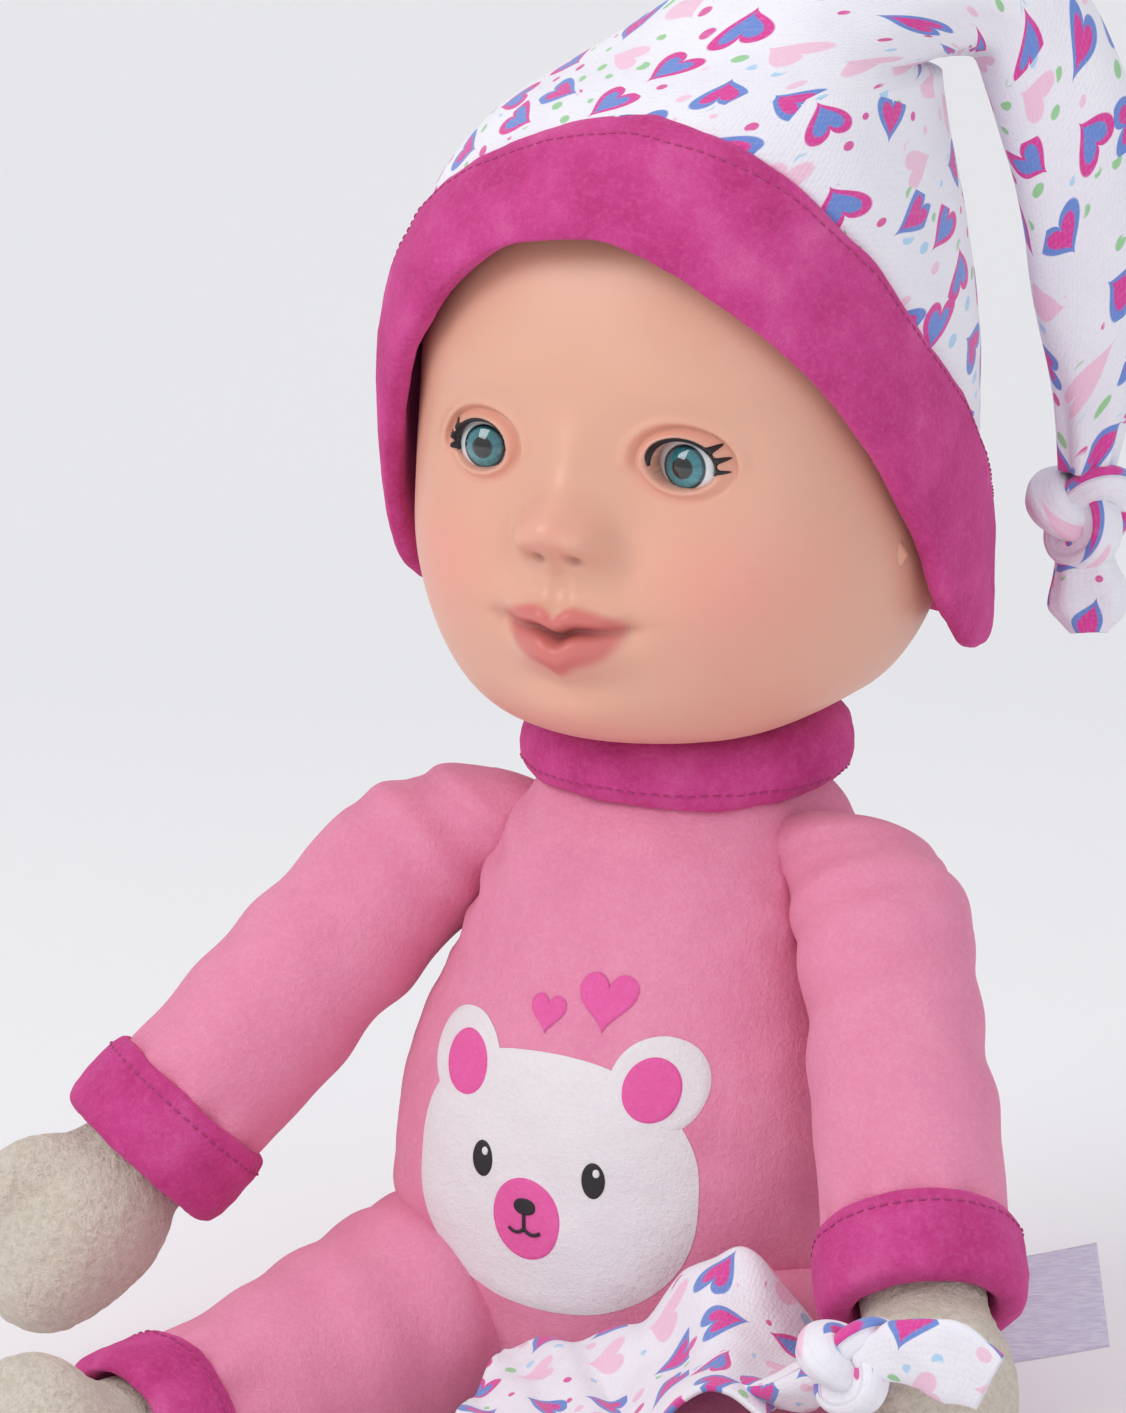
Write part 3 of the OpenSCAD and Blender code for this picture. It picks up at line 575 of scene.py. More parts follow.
def face_relief(x, z):
    """How far the face stands out: nose, bridge, lips, chin, cheeks, brow, then the eyelids."""
    ax = np.abs(x)
    d = 11.6 * bell(x, 5.3) * bell(z - 188.2, 4.9)
    d += 4.6 * bell(ax - 7.0, 2.5) * bell(z - 186.2, 3.0)
    d += 3.2 * bell(x, 4.6) * bell(z - 199.5, 6.5)
    d -= 2.2 * bell(ax - 3.7, 1.3) * bell(z - 182.9, 0.9)
    d -= 0.7 * bell(x, 1.3) * bell(z - 178.6, 2.6)
    d += 0.45 * bell(ax - 2.7, 1.0) * bell(z - 178.4, 2.8)
    d += 6.2 * bell(x, 10) * bell(z - 170, 7.6)
    lip = bell(x, 7.0)
    m = mouth_line(x)
    d += 3.2 * lip * bell(z - (m + 2.9), 1.9) * (1 - 0.25 * bell(x, 1.1))
    d += 4.4 * bell(x, 6.4) * bell(z - (m - 3.7), 2.5)
    d -= 3.2 * bell(x, 6.8) * bell(z - m, 0.72)
    d -= 1.5 * bell(ax - 13.0, 1.9) * bell(z - (m + 0.2), 2.0)
    d -= 1.5 * bell(x, 6.5) * bell(z - 160.6, 1.9)
    d += 4.6 * bell(x, 8.5) * bell(z - 155, 4.6)
    d += 4.2 * bell(ax - 26, 11) * bell(z - 175, 11)
    d -= 2.3 * bell(ax - EYE_X, 8.5) * bell(z - 202, 7.5)
    d += 1.3 * bell(ax - 20, 10) * bell(z - 214, 4.5)
    d -= 0.9 * bell(ax - 11.5, 2.2) * bell(z - (184 - 0.4 * (ax - 11)), 5)
    for s in (-1, 1):
        r = eye_rho(x, z, s)
        up = ramp(-2.5, 1.5, z - EYE_Z)
        d += (1.1 + 0.9 * up) * bell(r - 1.16, 0.10)
        d -= 1.0 * up * bell(r - 1.50, 0.06)
        d += 0.8 * up * bell(r - 1.72, 0.14)
        d -= 0.5 * (1 - up) * bell(r - 1.45, 0.10)
    return d


SKIN_BASE = np.array([0.76, 0.42, 0.30])
LIP = np.array([0.64, 0.15, 0.14])
BLUSH = np.array([0.86, 0.34, 0.28])


def build_head():
    front = np.linspace(-1, 1, 301) * FACE_TURN
    back = np.linspace(FACE_TURN, TAU - FACE_TURN, 92)[1:-1]
    q = np.concatenate([front, back])            # angle from the face, towards the left
    zs = np.concatenate([np.linspace(146, 152, 12)[:-1], np.linspace(152, 216, 190)[:-1],
                         np.linspace(216, 256, 46)[:-1], np.linspace(256, 261.6, 12)])
    z, qq = np.meshgrid(zs, q, indexing="ij")
    r = head_at(z)
    c = np.cos(qq)
    e = np.where(c > 0, CHEEK_POWER, 1.0)
    x = r[..., 0] * signed_power(np.sin(qq), e)
    y0 = -np.where(c > 0, r[..., 1], r[..., 2]) * signed_power(c, e)
    w = ramp(0.15, 0.6, c)
    y = y0 - w * face_relief(x, z)
    col = np.empty(x.shape + (3,))
    col[:] = SKIN_BASE
    m = mouth_line(x)
    upper_h = 4.9 - 0.9 * bell(x, 1.4)
    upper = ramp(1.15, 0.85, np.sqrt((x / 12.6) ** 2 + ((z - m) / upper_h) ** 2)) * (z >= m)
    lower = ramp(1.15, 0.85, np.sqrt((x / 12.0) ** 2 + ((z - m) / 5.9) ** 2)) * (z < m)
    lipmask = np.clip(upper + lower, 0, 1) * (c > 0.5)
    blush = bell(np.abs(x) - 31, 10) * bell(z - 178, 9) * w
    blush = np.maximum(blush, 0.55 * bell(x, 5) * bell(z - 188, 4) * w)
    blush = np.maximum(blush, 0.45 * bell(x, 9) * bell(z - 153, 4) * w)
    for s in (-1, 1):
        rr = eye_rho(x, z, s)
        blush = np.maximum(blush, 0.5 * bell(rr - 1.25, 0.3) * (c > 0.4))
    col += (BLUSH - col) * (0.62 * blush)[..., None]
    col += (LIP - col) * (0.88 * lipmask)[..., None]
    # The lip parting and the nostrils are darkened: painted shade in the crease between the lips and in the
    # nostril hollows.
    dark = bell(x, 7.5) * bell(z - m, 0.62) * (c > 0.5)
    nost = 0.55 * bell(np.abs(x) - 3.7, 1.1) * bell(z - 182.8, 0.8) * (c > 0.5)
    dk = np.clip(0.9 * dark + 0.9 * nost, 0, 1)[..., None]
    col = col * (1 - dk) + np.array([0.24, 0.05, 0.05]) * dk
    # Inside each eye opening the face is pushed 9 mm back and its walls are painted near black: painted
    # shadow in the gap round the eyeball.
    sink = np.zeros_like(x)
    for s in (-1, 1):
        rr = eye_rho(x, z, s)
        t = ramp(1.02, 0.86, rr) * (c > 0.3)
        y = y + t * 9.0
        sink = np.maximum(sink, ramp(0.99, 0.9, rr) * (c > 0.3))
    col = col * (1 - sink[..., None]) + np.array([0.012, 0.01, 0.012]) * sink[..., None]
    edge = np.hypot(x, y)
    z = z - 5.2 * ramp(27, 39, edge) * ramp(172, 149, z) * (0.62 + 0.38 * ramp(-0.2, 0.8, c))
    P = np.stack([x, y, z], -1)
    n = len(q)
    neck = np.stack([NECK_HOLE_R * np.sin(q), -NECK_HOLE_R * np.cos(q), np.full(n, 150.0)], -1)
    P = np.concatenate([neck[None], P])
    C = np.concatenate([np.tile(SKIN_BASE, (1, n, 1)), col])
    make("head_skin", P, grid_faces(len(P), n, cap_hi=True), SKIN, "head", ["head_shell"],
         colour=C)


def build_ear(s):
    a = np.linspace(0, TAU, 48, endpoint=False)
    rings = []
    for t in np.linspace(0, 1, 22):
        k = math.sin(math.pi * min(t, 0.999) ** 0.85) ** 0.6 if 0 < t < 1 else 0.02
        depth = -2.2 + 5.4 * math.sin(t * math.pi / 2)
        rad = (1 - t) ** 0.45 if t < 1 else 0.02
        bowl = -2.0 * bell(rad - 0.45, 0.18)
        y = 5.2 * rad * np.cos(a)
        z = 9.6 * rad * np.sin(a) * (1 + 0.12 * np.sin(a))
        rings.append(np.stack([np.full_like(a, depth + bowl), y, z], -1))
    P = np.array(rings)
    t = math.radians(14)
    y = P[..., 1] * math.cos(t) - P[..., 2] * math.sin(t)
    z = P[..., 1] * math.sin(t) + P[..., 2] * math.cos(t)
    P = np.stack([s * (48.4 + P[..., 0]), y - 12.5, z + 180], -1)
    f = grid_faces(len(rings), 48, cap_hi=True)
    if s > 0:
        f = [tuple(reversed(k)) for k in f]
    col = np.broadcast_to(SKIN_BASE * 0.97 + np.array([0.02, -0.02, -0.02]), P.shape)
    make(SIDE[s] + "_ear", P, f, SKIN, "head", colour=col)


def build_eye(s):
    side = SIDE[s]
    na, nr = 160, 100
    th = np.concatenate([np.linspace(0.0, 0.62, 64), np.linspace(0.62, math.pi, nr - 63)[1:]])
    a = np.arange(na) * TAU / na
    T, A = np.meshgrid(th, a, indexing="ij")
    R = EYE_R + 0.75 * bell(T, 0.26)
    x = R * np.sin(T) * np.cos(A)
    z = R * np.sin(T) * np.sin(A)
    y = -R * np.cos(T)
    rad = np.degrees(T) / IRIS_DEGREES
    streak = np.sin(A * 31 + 4 * np.sin(A * 7)) * 0.5 + 0.5 * np.sin(A * 53 + 2 * np.sin(A * 5 + 1))
    streak += 0.35 * np.sin(A * 97 + 9 * rad)
    teal_d, teal = np.array([0.004, 0.035, 0.05]), np.array([0.008, 0.10, 0.13])
    teal_l = np.array([0.07, 0.30, 0.34])
    k = np.clip(0.45 + 0.28 * streak * ramp(0.3, 0.7, rad), 0, 1)[..., None]
    col = teal * (1 - k) + teal_l * k
    # The lower part of the iris is lightened: painted light falling through the clear front of the eye.
    low = ramp(0.2, -0.9, np.sin(A))[..., None] * 0.35
    col = col * (1 + low)
    mid = ramp(0.55, 0.42, rad)[..., None] * 0.35
    col = col * (1 - mid) + teal_d * mid
    limb = ramp(0.80, 0.97, rad)[..., None]
    col = col * (1 - limb) + np.array([0.003, 0.015, 0.02]) * limb
    white = ramp(1.0, 1.07, rad)[..., None]
    shade = (0.86 - 0.25 * ramp(1.2, 2.2, rad))[..., None]
    col = col * (1 - white) + np.array([0.93, 0.94, 0.97]) * shade * white
    pup = ramp(0.50, 0.44, rad)[..., None]
    col = col * (1 - pup) + np.array([0.002, 0.002, 0.003]) * pup
    lid = (ramp(0.35, 0.42, np.sin(A) * np.sin(T)) * (T > 0.5))[..., None]
    lid = lid * ramp(0.50, 0.56, np.sin(T) * np.sin(A))[..., None]
    col = col * (1 - lid) + SKIN_BASE * lid
    P = np.stack([x + s * EYE_X, y + EYE_Y, z + EYE_Z], -1)
    f = grid_faces(len(th), na, cap_hi=True)
    make(side + "_eye", P, f, EYE, side + "_eye", [side + "_eyeball", side + "_eye_lens"],
         colour=col)


def surface_y(x, z):
    r = head_at(z)
    sine = np.clip(np.abs(x) / r[..., 0], 0, 1) ** (1 / CHEEK_POWER)
    c = np.sqrt(np.clip(1 - sine ** 2, 0, 1))
    return -r[..., 1] * c ** CHEEK_POWER - ramp(0.15, 0.6, c) * face_relief(x, z)


def build_lash(s):
    """Moulded black lash: a crescent along the upper lid with outer points."""
    side = SIDE[s]
    n, m = 120, 9
    al = np.linspace(math.radians(-16), math.radians(186), n)
    rings = []
    for i, a in enumerate(al):
        k = i / (n - 1)
        wide = 0.95 * math.sin(math.pi * min(max(k, 0.02), 0.98)) ** 0.5
        for c0 in (0.06, 0.17, 0.28):
            wide += 2.0 * bell(k - c0, 0.018)
        r0 = 0.96
        r1 = r0 + wide / 5.4
        ring = []
        for j in range(m):
            f = j / (m - 1)
            rr = r0 + (r1 - r0) * f
            u = EYE_HALF * rr * math.cos(a)
            w = (EYE_UP if math.sin(a) > 0 else EYE_DOWN) * rr * math.sin(a)
            x = s * (EYE_X + u)
            z = EYE_Z + w - EYE_SLANT * u + EYE_RAISE
            lift = 0.35 + 0.25 * math.sin(math.pi * f)
            y = float(surface_y(np.array(x), np.array(z))) if rr > 1.0 else float(
                surface_y(np.array(s * (EYE_X + u / rr)), np.array(EYE_Z + w / rr + EYE_RAISE)))
            ring.append((x, y - lift, z))
        rings.append(ring + [(x, y + 0.9, z) for x, y, z in reversed(ring)])
    f = grid_faces(n, 2 * m, cap_lo=True, cap_hi=True)
    if s < 0:
        f = [tuple(reversed(k)) for k in f]
    make(side + "_lash", rings, f, LASH, "head", [side + "_lashes"])


build_head()
for s in (-1, 1):
    build_ear(s)
    build_eye(s)
    build_lash(s)


# ------------------------------------------------------------ soft pieces from the CAD solids

def soft_copy(name, nodes, material, voxel_mm, smooth):
    """A new piece that starts as a remeshed copy of CAD solids."""
    merged = bmesh.new()
    for node in nodes:
        merged.from_mesh(cad_object(node).data)
    me = bpy.data.meshes.new(name)
    merged.to_mesh(me)
    merged.free()
    o = bpy.data.objects.new(name, me)
    bpy.context.collection.objects.link(o)
    remesh(o, voxel_mm, smooth)
    dress(o, material)
    return o


PUFF_PRESSURE, PUFF_FRAMES = 4.0, 20


def puff(pieces):
    """Blows the pieces up as cloth bags, all in one run, each point moving no further than its cap."""
    scene = bpy.context.scene
    start = {o.name: points(o) for o, cap in pieces}
    for o, cap in pieces:
        cloth = o.modifiers.new("cloth", "CLOTH")
        cloth.settings.quality = 5
        cloth.settings.mass = 0.15
        cloth.settings.tension_stiffness = 12
        cloth.settings.compression_stiffness = 12
        cloth.settings.bending_stiffness = 0.3
        cloth.settings.use_pressure = True
        cloth.settings.uniform_pressure_force = PUFF_PRESSURE
        cloth.settings.effector_weights.gravity = 0
        cloth.collision_settings.use_collision = False
        cloth.point_cache.frame_start = 1
        cloth.point_cache.frame_end = PUFF_FRAMES
    for f in range(1, PUFF_FRAMES + 1):
        scene.frame_set(f)
    dg = bpy.context.evaluated_depsgraph_get()
    for o, cap in pieces:
        me = o.evaluated_get(dg).to_mesh()
        end = np.zeros(len(me.vertices) * 3)
        me.vertices.foreach_get("co", end)
        o.evaluated_get(dg).to_mesh_clear()
        move = end.reshape(-1, 3) / MM - start[o.name]
        far = np.linalg.norm(move, axis=1)[:, None]
        o.modifiers.clear()
        set_points(o, start[o.name] + move * np.minimum(1, cap / np.maximum(far, 1e-6)))
    scene.frame_set(1)


def push(o, height):
    """Moves each point along its normal by height(points), in millimetres."""
    p = points(o)
    set_points(o, p + normals(o) * height(p)[:, None])


def finish_soft(o, height, levels=1):
    subdivide(o, levels)
    apply_all(o)
    push(o, height)
    set_points(o, rest_on_floor(points(o)))
    shade_smooth(o)


def surface_tree(o):
    return BVHTree.FromPolygons([v.co / MM for v in o.data.vertices],
                                [tuple(f.vertices) for f in o.data.polygons])


def laid_on(o, pts, lift):
    """Points moved to the nearest place on a piece and lifted off it."""
    tree = surface_tree(o)
    at = []
    for p in pts:
        co, nor = tree.find_nearest(Vector(p))[:2]
        at.append(np.array(co) + np.array(nor) * lift)
    return np.array(at)


def stitches(name, pts, material, body, pitch=2.4, length=1.5, radius=0.22):
    """A row of separate thread stitches along points that lie on a surface."""
    p = np.asarray(pts, float)
    arc = np.concatenate([[0], np.cumsum(np.linalg.norm(np.diff(p, axis=0), axis=1))])
    verts, faces = [], []
    for k in range(int(arc[-1] / pitch)):
        s = np.linspace(k * pitch, k * pitch + length, 5)
        line = np.stack([np.interp(s, arc, p[:, i]) for i in range(3)], -1)
        ring = sweep(line, [(radius * w,) * 2 for w in (0.5, 1, 1, 1, 0.5)], 6,
                     ref=(0.31, 0.52, 0.8))
        base = len(verts)
        verts += [v for r in ring for v in r]
        faces += grid_faces(5, 6, cap_lo=True, cap_hi=True, base=base)
    return make(name, verts, faces, material, body)


SHOULDER = {1: np.array([44.0, -8, 122]), -1: np.array([-44.0, -8, 122])}
ARM = {1: unit([35.6, -56.4, -66.7]), -1: unit([-46, -46, -66])}
HIP = {1: np.array([33.0, -24, 22]), -1: np.array([-33.0, -24, 22])}
SPLAY = math.radians(18)
LEG = {s: unit([s * math.sin(SPLAY), -math.cos(SPLAY), -0.052]) for s in (1, -1)}
WRIST = 87.3
ANKLE = 84.3


def rest_on_floor(p):
    """Soft points don't sink below what the doll sits on; they flatten there."""
    p[:, 2] = np.where(p[:, 2] < 0.8, 0.8 - 0.75 * np.tanh((0.8 - p[:, 2]) / 0.75), p[:, 2])
    return p


def limb_frame(d):
    u = unit(np.cross(d, (0, 0, 1)))
    return u, np.cross(u, d)


def limb_folds(at, d, seed, length):
    u, v = limb_frame(d)

    def height(p):
        rel = p - at
        t = rel @ d
        a = np.arctan2(rel @ v, rel @ u)
        h = 0.9 * fbm(p, 26, 2, seed)
        h += 0.55 * bell(t - 0.45 * length, 15) * np.sin(0.33 * t + 1.4 * np.cos(a + seed))
        h += 0.8 * bell(t - (length - 9), 5) * np.sin(9 * a + seed)
        h += 0.8 * bell(t - 10, 8) * np.sin(0.5 * t + 1.6 * np.sin(a))
        return h - 0.6 * bell(t - 4, 1.0)
    return height


def torso_folds(p):
    h = 1.0 * fbm(p, 34, 2, 5.0)
    h += 0.35 * fbm(p, 9, 2, 2.0)
    for s in (-1, 1):
        r = np.linalg.norm(p - HIP[s], axis=1)
        h -= 1.0 * bell(r - 25.5, 1.1)
        h += 0.7 * bell(r - 29.5, 2.2)
        ra = np.linalg.norm(p - SHOULDER[s], axis=1)
        h += 0.7 * bell(ra - 24, 4) * np.sin(0.5 * p[:, 2] + 0.3 * p[:, 0])
    return h


def slope_shoulder(o, s):
    """Bends a sleeve's root in towards the neck, so that the shoulder slopes from the collar."""
    p = points(o)
    at, d = SHOULDER[s], ARM[s]
    t = (p - at) @ d
    near = t < 20
    k = np.clip((20 - t) / 37, 0, 1)[:, None]
    a = at + 20 * d
    b = np.array([s * 42.0, -7, 117])
    c = np.array([s * 25.0, -4, 121])
    axis = (1 - k) ** 2 * a + 2 * k * (1 - k) * b + k * k * c
    p = np.where(near[:, None], axis + (p - (at + t[:, None] * d)) * (1 - 0.10 * k), p)
    set_points(o, p)


def longer_hand(o, s):
    """The mitten widens and lengthens past the cuff."""
    p = points(o)
    at, d = SHOULDER[s], ARM[s]
    t = (p - at) @ d
    k = ramp(WRIST + 11, WRIST + 26, t)[:, None]
    off = p - (at + t[:, None] * d)
    far = np.maximum(t - (WRIST + 11), 0)[:, None]
    set_points(o, at + t[:, None] * d + off * (1 + 0.13 * k) + 0.2 * far * d)


def fuller_leg(s):
    at, d = HIP[s], LEG[s]

    def height(p):
        t = (p - at) @ d
        up = ramp(4, 26, p[:, 2])
        return (4.6 * bell(t - 10, 22) - 2.2 * ramp(42, 80, t)) * up
    return height


def fuller_torso(p):
    side = np.abs(p[:, 0]) / 50
    inside = np.hypot(p[:, 0] / 51, (p[:, 1] + 8) / 48)
    skin = ramp(0.84, 0.96, inside)
    return skin * (3.6 * bell(p[:, 2] - 42, 24) * ramp(0.2, 0.9, side) + 1.5 * bell(p[:, 2] - 60, 26)
                   * ramp(0, -30, p[:, 1]))


soft = {"torso": soft_copy("torso_cloth", ["torso"], PINK, 2.2, 8)}
for s in (1, -1):
    side = SIDE[s]
    soft[side + "_sleeve"] = soft_copy(side + "_sleeve_cloth", [side + "_sleeve"], PINK, 2.2, 5)
    soft[side + "_leg"] = soft_copy(side + "_leg_cloth", [side + "_leg"], PINK, 2.4, 5)
    soft[side + "_hand"] = soft_copy(side + "_hand_plush", [side + "_hand"], BEIGE, 1.5, 7)
    soft[side + "_foot"] = soft_copy(side + "_foot_plush", [side + "_foot"], BEIGE, 1.8, 6)
puff([(o, 2.5 if "torso" in k else 1.2) for k, o in soft.items()])

push(soft["torso"], fuller_torso)
finish_soft(soft["torso"], torso_folds)
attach(soft["torso"], "torso")
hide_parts("torso")
for s in (1, -1):
    side = SIDE[s]
    arm, leg = side + "_arm", side + "_leg"
    sleeve, hand = soft[side + "_sleeve"], soft[side + "_hand"]
    trouser, foot = soft[side + "_leg"], soft[side + "_foot"]
    slope_shoulder(sleeve, s)
    finish_soft(sleeve, limb_folds(SHOULDER[s], ARM[s], 3.0 + s, 95))
    push(trouser, fuller_leg(s))
    finish_soft(trouser, limb_folds(HIP[s], LEG[s], 7.0 + s, 88))
    longer_hand(hand, s)
    finish_soft(hand, lambda p: 0.35 * fbm(p, 3.2, 2, 1.0) + 0.5 * fbm(p, 14, 1, 4.0))
    finish_soft(foot, lambda p: 0.35 * fbm(p, 3.2, 2, 6.0) + 0.6 * fbm(p, 16, 1, 2.0))
    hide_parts(side + "_sleeve")
    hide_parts(side + "_leg")
    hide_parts(side + "_hand")
    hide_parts(side + "_foot")
    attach(hand, arm)
    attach(foot, leg)
    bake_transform(sleeve)
    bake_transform(trouser)


# ------------------------------------------------------------ cuffs and collar

def band(name, at, d, t0, rows, body, node, seed):
    """Folded velour cuff round a limb; rows go once round its section as (radius, height)."""
    u, v = limb_frame(d)
    section = smooth_rows(rows + rows[:1], 5)[:-1]
    a = np.arange(150) * TAU / 150
    rings = [at + (t0 + h) * d + np.outer(r * np.cos(a), u) + np.outer(r * np.sin(a), v)
             for r, h in section]
    o = make(name, rings, grid_faces(len(section), 150, wrap_rows=True), MAGENTA, body, [node])
    fix_normals(o)
    push(o, lambda p: 0.45 * fbm(p, 8, 3, seed))
    hem = [at + (t0 - 1.2) * d + 19.3 * (math.cos(k) * u + math.sin(k) * v)
           for k in np.linspace(0, TAU, 120)]
    stitches(name + "_hem", laid_on(o, hem, 0.12), THREAD_M, body)


def fix_normals(o):
    b = bmesh.new()
    b.from_mesh(o.data)
    bmesh.ops.recalc_face_normals(b, faces=b.faces)
    b.to_mesh(o.data)
    b.free()


# radius and height once round a cuff's section
WRIST_ROWS = [(13.2, -3.6), (17.6, -4.4), (19.3, -2.2), (19.8, 4), (19.4, 10.2), (17.6, 12.6), (13.8, 12.2),
              (13.0, 6)]
ANKLE_ROWS = [(r - 2.0 if r > 14 else r, h * 0.97) for r, h in WRIST_ROWS]
for s in (1, -1):
    band(SIDE[s] + "_wrist_cuff", SHOULDER[s], ARM[s], WRIST, WRIST_ROWS, SIDE[s] + "_arm",
         SIDE[s] + "_cuff", 2.0 + s)
    band(SIDE[s] + "_ankle_band", HIP[s], LEG[s], ANKLE, ANKLE_ROWS, SIDE[s] + "_leg",
         SIDE[s] + "_ankle_cuff", 5.0 + s)


def build_collar():
    rows = [(23.8, -5), (26.5, -8), (31, -7.6), (33.2, -4), (32.8, 0.5), (30.6, 4.2), (27.0, 5.8),
            (24.4, 4), (23.4, 0)]
    section = smooth_rows(rows + rows[:1], 6)[:-1]
    a = np.arange(200) * TAU / 200
    tilt = math.radians(3)
    rings = []
    for r, h in section:
        x = r * np.cos(a)
        y = 0.94 * r * np.sin(a)
        z = h + 0.5 * np.sin(3 * a + 1)
        rings.append(np.stack([x, y * math.cos(tilt) - z * math.sin(tilt) - 1.5,
                               y * math.sin(tilt) + z * math.cos(tilt) + 138], -1))
    o = make("collar_velour", rings, grid_faces(len(section), 200, wrap_rows=True), MAGENTA, "torso",
             ["collar"])
    fix_normals(o)
    push(o, lambda p: 0.5 * fbm(p, 9, 3, 8.0))
    ring = [(32.4 * math.cos(k), 30.4 * math.sin(k) - 1.5, 132.4) for k in np.linspace(0, TAU, 160)]
    stitches("collar_seam", laid_on(o, ring, 0.12), THREAD_M, "torso")


build_collar()


# ------------------------------------------------------------ prints, flap, label

torso_tree = surface_tree(soft["torso"])


def on_belly(x, z, lift):
    hit, nor = torso_tree.ray_cast(Vector((x, -120, z)), Vector((0, 1, 0)))[:2]
    if hit is None:
        hit, nor = torso_tree.find_nearest(Vector((x, -45, z)))[:2]
    return np.array(hit) + np.array(nor) * lift


def printed(name, x0, z0, outline, lift, material, node, rings=16, n=96):
    """Flat print on the velour: rings from a middle out to outline(angle) = (dx, dz)."""
    a = np.arange(n) * TAU / n
    edge = np.array([outline(k) for k in a])
    verts = [on_belly(x0, z0, lift)]
    for j in range(1, rings + 1):
        f = j / rings
        drop = lift * (1 - 0.75 * ramp(0.93, 1.0, f))
        verts += [on_belly(x0 + f * dx, z0 + f * dz, drop) for dx, dz in edge]
    faces = [(0, 1 + i, 1 + (i + 1) % n) for i in range(n)]
    faces += grid_faces(rings, n, base=1)
    o = make(name, verts, faces, material, "torso", [node])
    fix_normals(o)


def oval(w, h, power=1.0):
    return lambda a: (w * signed_power(np.cos(a), power), h * signed_power(np.sin(a), power))


def heart_outline(size):
    def at(a):
        t = a + math.pi / 2
        x = math.sin(t) ** 3
        z = (13 * math.cos(t) - 5 * math.cos(2 * t) - 2 * math.cos(3 * t) - math.cos(4 * t)) / 16
        return size * 0.62 * x, size * 0.62 * (z + 0.1)
    return at


MUZZLE_X = -7
printed("bear_head", -4, 59, oval(31, 25.5, 0.86), 0.45, PRINT_WHITE, "bear_face_print",
        24, 140)
for k, (x, z) in enumerate(((-24.5, 79.5), (18.0, 80.5))):
    printed("bear_ear_%d" % k, x, z, oval(9.2, 9.2), 0.40, PRINT_WHITE, "bear_face_print")
    printed("bear_ear_inner_%d" % k, x + 0.8 - 1.6 * k, z - 0.6, oval(5.6, 6.2), 0.68, PRINT_PINK,
            "bear_pink_print")
printed("bear_muzzle", MUZZLE_X, 52, oval(8.0, 8.4), 0.72, PRINT_PINK, "bear_pink_print")
printed("bear_nose", MUZZLE_X, 54.6, oval(2.7, 1.8, 0.9), 0.95, PRINT_DARK, "bear_features_print",
        8, 48)
for s in (-1, 1):
    x, z = -5 + s * 12.5, 62
    printed("bear_eye_%s" % SIDE[s], x, z, oval(2.5, 3.8), 0.72, PRINT_DARK, "bear_features_print",
            8, 48)
    printed("bear_glint_%s" % SIDE[s], x + 0.7, z + 1.6, oval(0.8, 1.0), 0.95, PRINT_WHITE,
            "bear_features_print", 4, 24)


def bear_mouth():
    verts, faces = [], []
    lines = [[(MUZZLE_X, 53), (MUZZLE_X, 50.6)]]
    for s in (-1, 1):
        lines.append([(MUZZLE_X + s * (1.9 - 1.9 * math.cos(t)), 50.6 - 1.3 * math.sin(t))
                      for t in np.linspace(0, 2.6, 14)])
    for line in lines:
        path = smooth_rows(line, 4)
        pts = [on_belly(x, z, 0.95) for x, z in path]
        ring = sweep(pts, [(0.36, 0.2)] * len(pts), 8, ref=(0, 1, 0.1))
        base = len(verts)
        verts += [v for r in ring for v in r]
        faces += grid_faces(len(pts), 8, cap_lo=True, cap_hi=True, base=base)
    make("bear_mouth", verts, faces, PRINT_DARK, "torso", ["bear_features_print"])


bear_mouth()
for name, x, z, size, rings, n in (("heart_small", -6, 91.5, 6.4, 10, 80),
                                   ("heart_large", 6, 95, 9.6, 12, 96)):
    printed(name, x, z, heart_outline(size), 0.45, PRINT_PINK, "bear_pink_print", rings, n)

flap = soft_copy("flap_cloth", ["back_flap"], PINK, 1.3, 3)
finish_soft(flap, lambda p: 0.35 * fbm(p, 16, 2, 3.0), 0)
tab = soft_copy("tab_cloth", ["hook_tab"], PINK, 0.8, 2)
finish_soft(tab, lambda p: 0.12 * fbm(p, 6, 2, 3.0), 0)
for o, node in ((flap, "back_flap"), (tab, "hook_tab")):
    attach(o, "flap")
    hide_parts(node)


def behind(lo, hi, n):
    """Points once round a rectangle behind the doll's back."""
    corners = [lo, (hi[0], lo[1]), hi, (lo[0], hi[1]), lo]
    return [(x0 + (x1 - x0) * k / n, 48, z0 + (z1 - z0) * k / n)
            for (x0, z0), (x1, z1) in zip(corners, corners[1:]) for k in range(n)]


stitches("flap_stitching", laid_on(flap, behind((-23, 46.5), (23, 103), 30), 0.1), THREAD, "flap")
stitches("tab_stitching", laid_on(tab, behind((-35, 68.5), (-19, 81.5), 12), 0.1), THREAD, "flap",
         1.8, 1.1)


for s in (-1, 1):
    seam = [(s * 60, -4, z) for z in np.linspace(48, 100, 50)]
    stitches("side_seam_" + SIDE[s], laid_on(soft["torso"], seam, 0.05), THREAD, "torso", 2.6, 1.7, 0.25)


